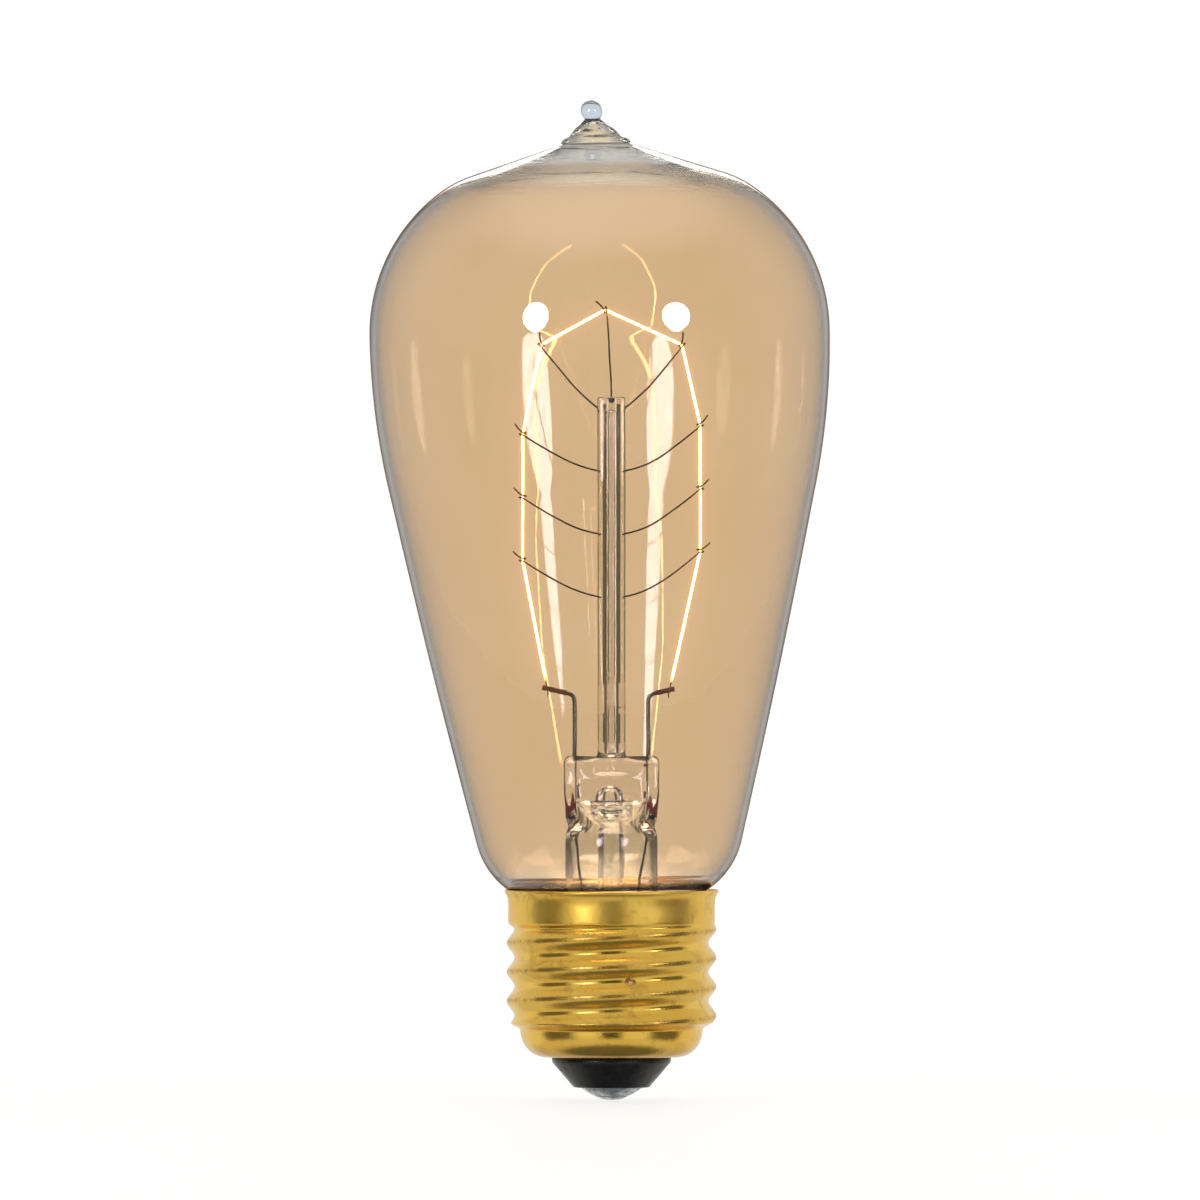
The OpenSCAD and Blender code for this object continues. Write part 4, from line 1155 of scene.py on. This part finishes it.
class LAMP_OT_cap(bpy.types.Operator):
    """Roll the threaded brass shell, with its weld"""

    bl_idname = "lamp.cap"
    bl_label = "Screw Shell"

    def side(self, inset, degrees):
        """The shell's outline at one place round it, from the hole in its bottom up to the rim."""
        p = [(HOLE_R, SHELL_Z + inset), (7.6, SHELL_Z + inset)]
        width, height = END_R - CORNER_R - inset, CORNER_H - inset
        for step in range(-90, 1, 6):
            a = math.radians(step)
            p.append((CORNER_R + width * math.cos(a), THREAD_Z + height * math.sin(a)))
        rows, length = 150, COLLAR_Z + 1.0 - THREAD_Z
        heights = [THREAD_Z + length * i / rows for i in range(1, rows + 1)]
        p += [(thread_r(z, degrees) - inset, z) for z in heights]
        collar, rim = COLLAR_R - inset, RIM_R - inset
        p += line((collar, COLLAR_Z + 1.3), (collar, RIM_Z - 2.4), 4)
        p += curve([(collar, RIM_Z - 2.2), (collar, RIM_Z - 1.3), (rim - 0.4, RIM_Z - 0.75), (rim, RIM_Z - 0.3)], 12)
        if not inset:  # the outside takes the rounded edge
            p += [(RIM_R - 0.01, RIM_Z - 0.2), (RIM_R - 0.05, RIM_Z - 0.07), (RIM_R - 0.13, RIM_Z)]
        return p

    def execute(self, context):
        turns = 288
        outside = len(self.side(0.0, 0.0))
        count = outside + len(self.side(SHELL_WALL, 0.0))
        verts, crest = [], []
        for k in range(turns):
            degrees = 360 * k / turns
            a = math.radians(degrees)
            for r, z in self.side(0.0, degrees) + self.side(SHELL_WALL, degrees)[::-1]:
                dent = 0.035 * wobble((r * math.cos(a), r * math.sin(a), z), 5.0, 3.0) * ease((z - SHELL_Z) / 3)
                flat = 0.10 * ease((z - RIM_Z + 1.6) / 1.0) * wobble((math.cos(a), math.sin(a), 0), 0.45, 2.0)
                r = min(r + dent - abs(flat) * 0.6, RIM_R)
                verts.append((r * math.cos(a), r * math.sin(a), z))
                crest.append(max(0.0, thread_wave(z, degrees)) ** 6 * thread_share(z))
        faces = []
        for i in range(turns):
            a, b = i * count, (i + 1) % turns * count
            faces += [(a + j, b + j, b + (j + 1) % count, a + (j + 1) % count) for j in range(count)]
        # Inside, the shell is coated with what is left of the basing cement.
        coated = [i * count + j for i in range(turns) for j in range(outside, count - 1)]
        obj = piece("brass_shell", verts, faces, brass(), ("screw_shell",), "brass", cement(), coated)
        obj.data.attributes.new("crest", "FLOAT", "POINT").data.foreach_set("value", crest)
        self.weld()
        return {"FINISHED"}

    def weld(self):
        """A round spot weld with a raised ring and a sunk, browned middle."""
        a = math.radians(WELD_TURN)
        out, across = Vector((math.cos(a), math.sin(a), 0)), Vector((-math.sin(a), math.cos(a), 0))
        base = thread_r(WELD_Z, WELD_TURN)
        profile = [(0.66, -0.3), (0.66, -0.05), (0.62, 0.1), (0.54, 0.2)]
        profile += [(0.46, 0.22), (0.38, 0.16), (0.3, 0.06), (0.15, 0.0)]
        rings = []
        for r, h in profile:
            ring = []
            for c, s in circle(32):
                u, v = 1.15 * r * c, 0.82 * r * s
                lump = 0.04 * wobble((u, v, h), 0.35, 2.0)
                ring.append(tuple(out * (base + h + lump) + across * u + Vector((0, 0, WELD_Z + v))))
            rings.append(ring)
        f = wire_finish("weld", (0.85, 0.58, 0.30), (0.30, 0.12, 0.05), 0.25, 1.0, 0.12)
        piece("weld_spot", *loft(rings), f, ("shell_weld",), "weld")


class LAMP_OT_cement(bpy.types.Operator):
    """Build the ring of basing cement, with its broken edge above the rim"""

    bl_idname = "lamp.cement"
    bl_label = "Basing Cement"

    def execute(self, context):
        low_z, top_z, bore_r = low("basing_cement"), high("basing_cement"), 11.27
        outline = joined(
            [(bore_r, low_z), (11.78, low_z), (11.8, COLLAR_Z + 0.9), (12.5, COLLAR_Z + 1.1), (12.55, top_z - 0.1)],
            [(12.4, top_z), (12.0, top_z + 0.05), (11.75, top_z + 0.25), (11.6, top_z + 0.5), (11.45, top_z + 0.75)],
            [(11.36, top_z + 0.9), (bore_r, top_z + 0.8), (bore_r - 0.02, top_z + 0.3)],
            line((bore_r - 0.02, top_z - 0.2), (bore_r - 0.02, low_z + 0.3), 4),
        )

        def crumbled(x, y, z):
            r = math.hypot(x, y)
            a = math.atan2(y, x)
            place = (math.cos(a), math.sin(a), 0)
            share = ease((z - top_z + 0.3) / 1.2)
            ragged = 0.35 * wobble(place, 0.04, 1.0) + 0.35 * wobble(place, 0.25, 5.0)
            z += share * (ragged - 0.15)
            follow = neck_outside(z) - NECK_R if z > top_z else 0.0
            k = (r + follow + 0.05 * share * wobble((x, y, z), 0.4, 3.0)) / r
            return leaning(x * k, y * k, z) if z > top_z else (x, y, z)

        verts, faces = lathe(outline, 360, crumbled)
        piece("cement_ring", verts, faces, cement(), ("basing_cement",), "cement")
        return {"FINISHED"}


def neck_outside(z):
    """Radius of the outside of the glass at a height just above the rim."""
    run = [p for p in bulb_outline(0.0) if p[1] < 45]
    for (r0, z0), (r1, z1) in zip(run, run[1:]):
        if z0 <= z <= z1 and z1 > z0:
            return r0 + (r1 - r0) * (z - z0) / (z1 - z0)
    return NECK_R


SHEET = 0.35  # thickness of the contact


class LAMP_OT_contact(bpy.types.Operator):
    """Build the black glass, the centre contact and its solder"""

    bl_idname = "lamp.contact"
    bl_label = "Insulator and Contact"

    def execute(self, context):
        z0 = low("base_insulator")
        lip_z, floor_z = SHELL_Z - 0.7, SHELL_Z + 0.25
        outline = joined(
            [(1.5, z0 + 0.7), (3.9, z0 + 0.7), (3.92, z0 + 0.05), (4.6, z0), (4.75, z0 + 0.04), (4.87, z0 + 0.16)],
            line((4.87, z0 + 0.16), (7.26, lip_z - 0.14), 14),
            [(7.36, lip_z - 0.02), (7.42, lip_z + 0.1), (7.45, lip_z + 0.24), (7.45, SHELL_Z - 0.02)],
            [(6.93, SHELL_Z), (6.93, floor_z)],
            arc((7.75, floor_z + 0.5), 0.5, -90, 0, 15),
            curve([(8.15, floor_z + 1.0), (7.05, floor_z + 1.6), (4.5, floor_z + 1.6), (2.1, floor_z + 1.0)], 14),
            [(1.5, floor_z + 0.6)],
        )

        def moulded(x, y, z):
            r = math.hypot(x, y)
            free = ease((r - 4.7) / 1.0) if z < SHELL_Z - 0.1 else 0.0
            k = (r - 0.04 * free * (0.5 + 0.5 * wobble((x, y, z), 1.8, 1.0))) / r
            return (x * k, y * k, z)

        verts, faces = lathe(outline, 144, moulded)
        piece("black_insulator", verts, faces, black_glass(), ("base_insulator",), "black_glass")
        self.plate(z0)
        self.solder()
        return {"FINISHED"}

    def dome(self, inset, r_from, r_to, n=14):
        """Points on the contact's dome from one radius to another."""
        big = 5.88
        out = []
        for i in range(n + 1):
            r = r_from + (r_to - r_from) * i / n
            out.append((r, 0.12 + big - math.sqrt((big - inset) ** 2 - r * r)))
        return out

    def plate(self, z0):
        """The domed sheet, with its edge in the black glass and a hole for the solder."""
        edge = [(3.9, z0 + 0.08), (3.9, z0 + 0.7), (3.55, z0 + 0.7)]
        outline = joined(self.dome(0.0, 0.8, 3.86), edge, self.dome(SHEET, 3.5, 0.8))

        def pressed(x, y, z):
            return (x, y, z + 0.05 * (0.5 + 0.5 * wobble((x, y, 0), 0.9, 1.0)))

        verts, faces = lathe(outline, 120, pressed)
        finish = tinned("tinned_contact", (0.60, 0.66, 0.68), (0.30, 0.36, 0.38), 0.28, 0.9)
        piece("contact_dome", verts, faces, finish, ("contact_plate",), "tinned_contact")

    def solder(self):
        """Solder on the dome, through its hole and over the end of the lead."""
        face = self.dome(0.0, 1.9, 0.8, 8)
        back = self.dome(SHEET, 0.8, 1.3, 6)
        head = back[-1][1]
        outline = joined(
            curve([(0.0, 0.0), (0.7, 0.0), (1.3, 0.07), (1.9, face[0][1])], 14),
            face, back, curve([(1.3, head), (1.3, head + 0.35), (0.56, head + 0.6), (0.16, head + 0.7)], 8),
            [(0.16, 0.42), (0.0, 0.4)],
        )  # fmt: skip

        def flowed(x, y, z):
            edge = 1 - ease((math.hypot(x, y) - 0.5) / 1.0)
            k = 1 + 0.10 * wobble((x, y, 0), 1.1, 2.0)
            lift = 0.05 * (1 - edge) * (0.5 + 0.5 * wobble((x, y, z), 0.5, 4.0)) if z < 0.3 else 0.0
            return (x * k, y * k, z + lift)

        verts, faces = lathe(outline, 96, flowed, closed=False)
        finish = tinned("solder", (0.70, 0.71, 0.70), (0.40, 0.42, 0.44), 0.2, 0.6)
        piece("solder_blob", verts, faces, finish, ("contact_solder",), "solder")


# ---- studio ---------------------------------------------------------------------------------------------------------

WHITE = (1.05, 1.05, 1.05)


def way_to(azimuth, elevation):
    """Direction from the lamp, with azimuth counted from the camera's side to the right."""
    a, e = math.radians(azimuth), math.radians(elevation)
    return Vector((math.sin(a) * math.cos(e), -math.cos(a) * math.cos(e), math.sin(e)))


class LAMP_OT_studio(bpy.types.Operator):
    """Set up the floor, the light and the camera"""

    bl_idname = "lamp.studio"
    bl_label = "Studio"

    def execute(self, context):
        scene = context.scene
        self.camera(scene)
        self.floor(scene)
        self.sky(scene)
        self.glow(scene)
        scene.view_settings.view_transform = "Standard"
        scene.view_settings.look = "None"
        for name in ("max_bounces", "transmission_bounces", "transparent_max_bounces"):
            setattr(scene.cycles, name, 24)
        scene.cycles.glossy_bounces = 8
        return {"FINISHED"}

    def camera(self, scene):
        """A long lens at the lamp's half height. The picture is 150 mm wide at the lamp."""
        sensor_mm, width, aim_x, aim_z = 36, 0.150, -0.0014375, 0.0625
        distance = scene.lamp_studio.distance
        data = bpy.data.cameras.new("camera")
        cam = bpy.data.objects.new("camera", data)
        scene.collection.objects.link(cam)
        scene.camera = cam
        data.sensor_width = sensor_mm
        data.lens = sensor_mm * distance / width
        data.clip_start, data.clip_end = 0.05, 60
        cam.location = (aim_x, -distance, aim_z)
        cam.rotation_euler = (math.pi / 2, 0, 0)

    def floor(self, scene):
        """A pale sheet just under the contact."""
        n, half = 24, 6.0
        row = n + 1
        verts = [(half * (2 * i / n - 1), half * (2 * j / n - 1), -0.00005) for j in range(row) for i in range(row)]
        corners = [j * row + i for j in range(n) for i in range(n)]
        mesh = bpy.data.meshes.new("floor")
        mesh.from_pydata(verts, [], [(k, k + 1, k + row + 1, k + row) for k in corners])
        obj = bpy.data.objects.new("floor", mesh)
        scene.collection.objects.link(obj)
        tone = tuple(scene.lamp_studio.floor)
        glow = {"Emission_Color": (1.0, 1.0, 1.0, 1.0), "Emission_Strength": 0.78}
        f = Finish("studio_floor", tone, 0.6, Specular_IOR_Level=0.2, **glow)
        f.colour(f.mix(f.noise(400.0, 2.0), tone, tuple(0.985 * c for c in tone)))
        # Mirrors and glass look past the floor at the room's own lower half.
        path = f.node("ShaderNodeLightPath")
        bounces = f.math("SUBTRACT", path.outputs["Ray Depth"], path.outputs["Transmission Depth"])
        f.clear_where(f.math("GREATER_THAN", bounces, 0.5), (1.0, 1.0, 1.0))
        mesh.materials.append(f.mat)

    def sky(self, scene):
        """White for the eye and for what glass lets straight through. Whatever mirrors or scatters light sees a dim
        room, lit from above and from the sides, with two softboxes in it."""
        world = bpy.data.worlds.new("studio")
        scene.world = world
        world.use_nodes = True
        w = Nodes(world.node_tree)
        maths, smooth, mix = w.math, w.between, w.mix

        def along(v):
            """How far the ray goes along v."""
            n = w.node("ShaderNodeVectorMath", operation="DOT_PRODUCT")
            w.link(where, n.inputs[0])
            n.inputs[1].default_value = tuple(v)
            return n.outputs["Value"]
        def softbox(azimuth, elevation, half_w, half_h, soft, slant=0.0):
            """An oval of light: 1 inside, fading to 0 at its edge."""
            c = way_to(azimuth, elevation)
            right = Vector((0, 0, 1)).cross(c).normalized()
            v = maths("DIVIDE", along(c.cross(right)), math.sin(math.radians(half_h)))
            u = maths("DIVIDE", along(right), math.sin(math.radians(half_w)))
            if slant:
                u = maths("ADD", u, maths("MULTIPLY", v, slant))
            fuller = maths("MAXIMUM", maths("GREATER_THAN", v, 0.0), maths("ABSOLUTE", v))  # below its middle
            far = maths("ADD", maths("MULTIPLY", u, u), maths("MULTIPLY", maths("MULTIPLY", v, v), fuller))
            return maths("MULTIPLY", smooth(far, 1.0, 1.0 - soft), maths("GREATER_THAN", along(c), 0.3))

        def brighter(parts):
            """The sum of masks, each times its strength."""
            total = None
            for mask, strength in parts:
                part = maths("MULTIPLY", mask, strength)
                total = part if total is None else maths("ADD", total, part)
            return total

        out, back = w.node("ShaderNodeOutputWorld"), w.node("ShaderNodeBackground")
        w.link(back.outputs[0], out.inputs["Surface"])
        where = w.node("ShaderNodeTexCoord").outputs["Generated"]
        path = w.node("ShaderNodeLightPath")
        power = scene.lamp_studio.softbox
        # How often the light was mirrored or scattered. The world counts one ray more, but not where a lamp is sampled.
        through = path.outputs["Transmission Depth"]
        traced = maths("MAXIMUM", path.outputs["Is Camera Ray"], path.outputs["Is Reflection Ray"])
        traced = maths("MAXIMUM", traced, path.outputs["Is Transmission Ray"])
        bounces = maths("SUBTRACT", maths("SUBTRACT", path.outputs["Ray Depth"], through), traced)
        # Seen in the front of the glass and in the cap, then in the back of the glass, then over and over between them.
        up = along((0, 0, 1))
        first = brighter([(softbox(-32.5, 8.95, 6.4, 8.7, 0.12), power), (softbox(38.9, 9.0, 7.1, 7.9, 0.12), power)])
        left, right = softbox(-31.8, 12.6, 7.2, 12.7, 0.25), softbox(34.0, 12.0, 7.2, 13.6, 0.25, 0.1)
        inner = brighter([(left, 4.0 * power), (right, 4.0 * power)])
        left, right = softbox(-33.5, 9.0, 6.0, 8.5, 0.6), softbox(45.0, 9.0, 8.0, 8.5, 0.6)
        again = brighter([(left, 6.5 * power), (right, 6.5 * power)])
        deep = maths("GREATER_THAN", through, 2.5)
        many = maths("GREATER_THAN", bounces, 1.5)
        inside = mix(1.0, inner, (1.25, 1.5, 3.0), "MULTIPLY")
        boxes = mix(many, mix(deep, first, inside), mix(1.0, again, (0.70, 0.97, 1.6), "MULTIPLY"))
        more = maths("ADD", 1.0, maths("MULTIPLY", maths("GREATER_THAN", bounces, 2.5), 2.5))
        boxes = mix(1.0, boxes, more, "MULTIPLY")
        # The room that the glass mirrors: dim, with a bright screen behind the lamp that shows along the crown.
        flat = maths("SQRT", maths("MAXIMUM", maths("SUBTRACT", 1.0, maths("MULTIPLY", up, up)), 0.0001))
        facing = maths("DIVIDE", along((0, -1, 0)), flat)
        room = mix(smooth(facing, -0.45, 0.35), (0.46, 0.48, 0.52), (0.16, 0.17, 0.19))
        behind = smooth(facing, -0.955, -0.985)
        room = mix(behind, room, mix(smooth(up, 0.30, 0.45), (0.26, 0.20, 0.14), (0.45, 0.44, 0.42)))
        low_and_high = maths("MULTIPLY", smooth(up, 0.17, 0.24), smooth(up, 0.37, 0.31))
        screen = maths("MULTIPLY", smooth(facing, -0.983, -0.992), low_and_high)
        room = mix(screen, room, (3.4, 3.4, 3.4))
        room = mix(smooth(up, 0.66, 0.95), room, (1.1, 1.1, 1.1))
        room = mix(smooth(up, -0.40, -0.80), room, (0.62, 0.62, 0.62))
        # Inside the bulb an overhead lamp sparkles on the press and on the turned-in foot.
        within = mix(smooth(up, 0.90, 0.96), (0.20, 0.21, 0.22), (9.0, 9.0, 9.0))
        within = mix(softbox(0.0, 62.0, 26.0, 9.0, 0.3), within, (50.0, 55.0, 75.0))
        # Metal scatters what it mirrors. Round the cap: the dark camera, two soft lamps, grey, then white screens.
        grey = maths("MULTIPLY", smooth(facing, 0.72, 0.56), smooth(facing, -0.22, -0.02))
        cap = mix(grey, (0.80, 0.79, 0.77), (0.15, 0.14, 0.13))
        cap = mix(smooth(facing, 0.955, 0.985), cap, (0.07, 0.07, 0.06))
        cap = mix(smooth(maths("ABSOLUTE", up), 0.35, 0.55), cap, (0.66, 0.64, 0.60))
        cap = mix(smooth(up, -0.72, -0.90), cap, (0.16, 0.16, 0.16))
        spots = brighter([(softbox(-31.0, 8.0, 8.0, 9.0, 0.6), 5.5), (softbox(54.0, 12.0, 7.0, 8.0, 0.6), 4.5)])
        cap = mix(1.0, cap, spots, "ADD")
        mirrored = mix(path.outputs["Is Singular Ray"], cap, mix(1.0, mix(deep, room, within), boxes, "ADD"))
        # Thick glass bends light far enough to show the dark gaps between the white screens round the lamp.
        around = maths("COSINE", maths("MULTIPLY", maths("ARCTAN2", along((1, 0, 0)), along((0, -1, 0))), 8.0))
        gaps = mix(smooth(around, -0.80, -0.45), (0.10, 0.12, 0.13), (1.0, 1.0, 1.0))
        gaps = mix(smooth(maths("ABSOLUTE", up), 0.62, 0.50), (0.16, 0.19, 0.22), gaps)
        straight = mix(maths("GREATER_THAN", through, 5.5), WHITE, gaps)
        seen = mix(maths("GREATER_THAN", bounces, 0.5), straight, mirrored)
        w.link(mix(path.outputs["Is Camera Ray"], seen, WHITE), back.inputs["Color"])

    def glow(self, scene):
        """A faint halo round the filament."""
        scene.use_nodes = True
        g = Nodes(scene.node_tree)
        source, out = g.node("CompositorNodeRLayers"), g.node("CompositorNodeComposite")
        glare = g.node("CompositorNodeGlare", glare_type="BLOOM", quality="HIGH")
        for name, value in (("Threshold", 7.0), ("Strength", 1.0), ("Size", 0.20), ("Tint", (1.0, 0.60, 0.32, 1.0))):
            glare.inputs[name].default_value = value
        g.link(source.outputs["Image"], glare.inputs["Image"])
        g.link(glare.outputs["Image"], out.inputs["Image"])


class LAMP_PT_parts(bpy.types.Panel):
    """Lists the lamp's pieces and their settings"""

    bl_idname = "LAMP_PT_parts"
    bl_label = "Looped-Filament Lamp"
    bl_space_type = "VIEW_3D"
    bl_region_type = "UI"
    bl_category = "Lamp"

    def draw(self, context):
        for group, operators in PANEL:
            box = self.layout.box()
            settings = getattr(context.scene, group)
            for key in settings.bl_rna.properties.keys():
                if key not in ("rna_type", "name"):
                    box.prop(settings, key)
            for operator in operators:
                box.operator(operator.bl_idname)


PANEL = (
    ("lamp_glass", (LAMP_OT_bulb, LAMP_OT_stem)),
    ("lamp_filament", (LAMP_OT_leads, LAMP_OT_supports, LAMP_OT_filament)),
    ("lamp_cap", (LAMP_OT_cap, LAMP_OT_cement, LAMP_OT_contact)),
    ("lamp_studio", (LAMP_OT_studio,)),
)
SETTINGS = {"lamp_glass": LampGlass, "lamp_filament": LampFilament, "lamp_cap": LampCap, "lamp_studio": LampStudio}
CLASSES = (*SETTINGS.values(), *(operator for _, operators in PANEL for operator in operators), LAMP_PT_parts)


def register():
    for cls in CLASSES:
        bpy.utils.register_class(cls)
    for name, group in SETTINGS.items():
        setattr(bpy.types.Scene, name, bpy.props.PointerProperty(type=group))


def unregister():
    for name in SETTINGS:
        delattr(bpy.types.Scene, name)
    for cls in reversed(CLASSES):
        bpy.utils.unregister_class(cls)


def main():
    register()
    bpy.ops.lamp.bulb()
    bpy.ops.lamp.stem()
    bpy.ops.lamp.leads()
    bpy.ops.lamp.supports()
    bpy.ops.lamp.filament()
    bpy.ops.lamp.cap()
    bpy.ops.lamp.cement()
    bpy.ops.lamp.contact()
    bpy.ops.lamp.studio()


if __name__ == "__main__":
    main()
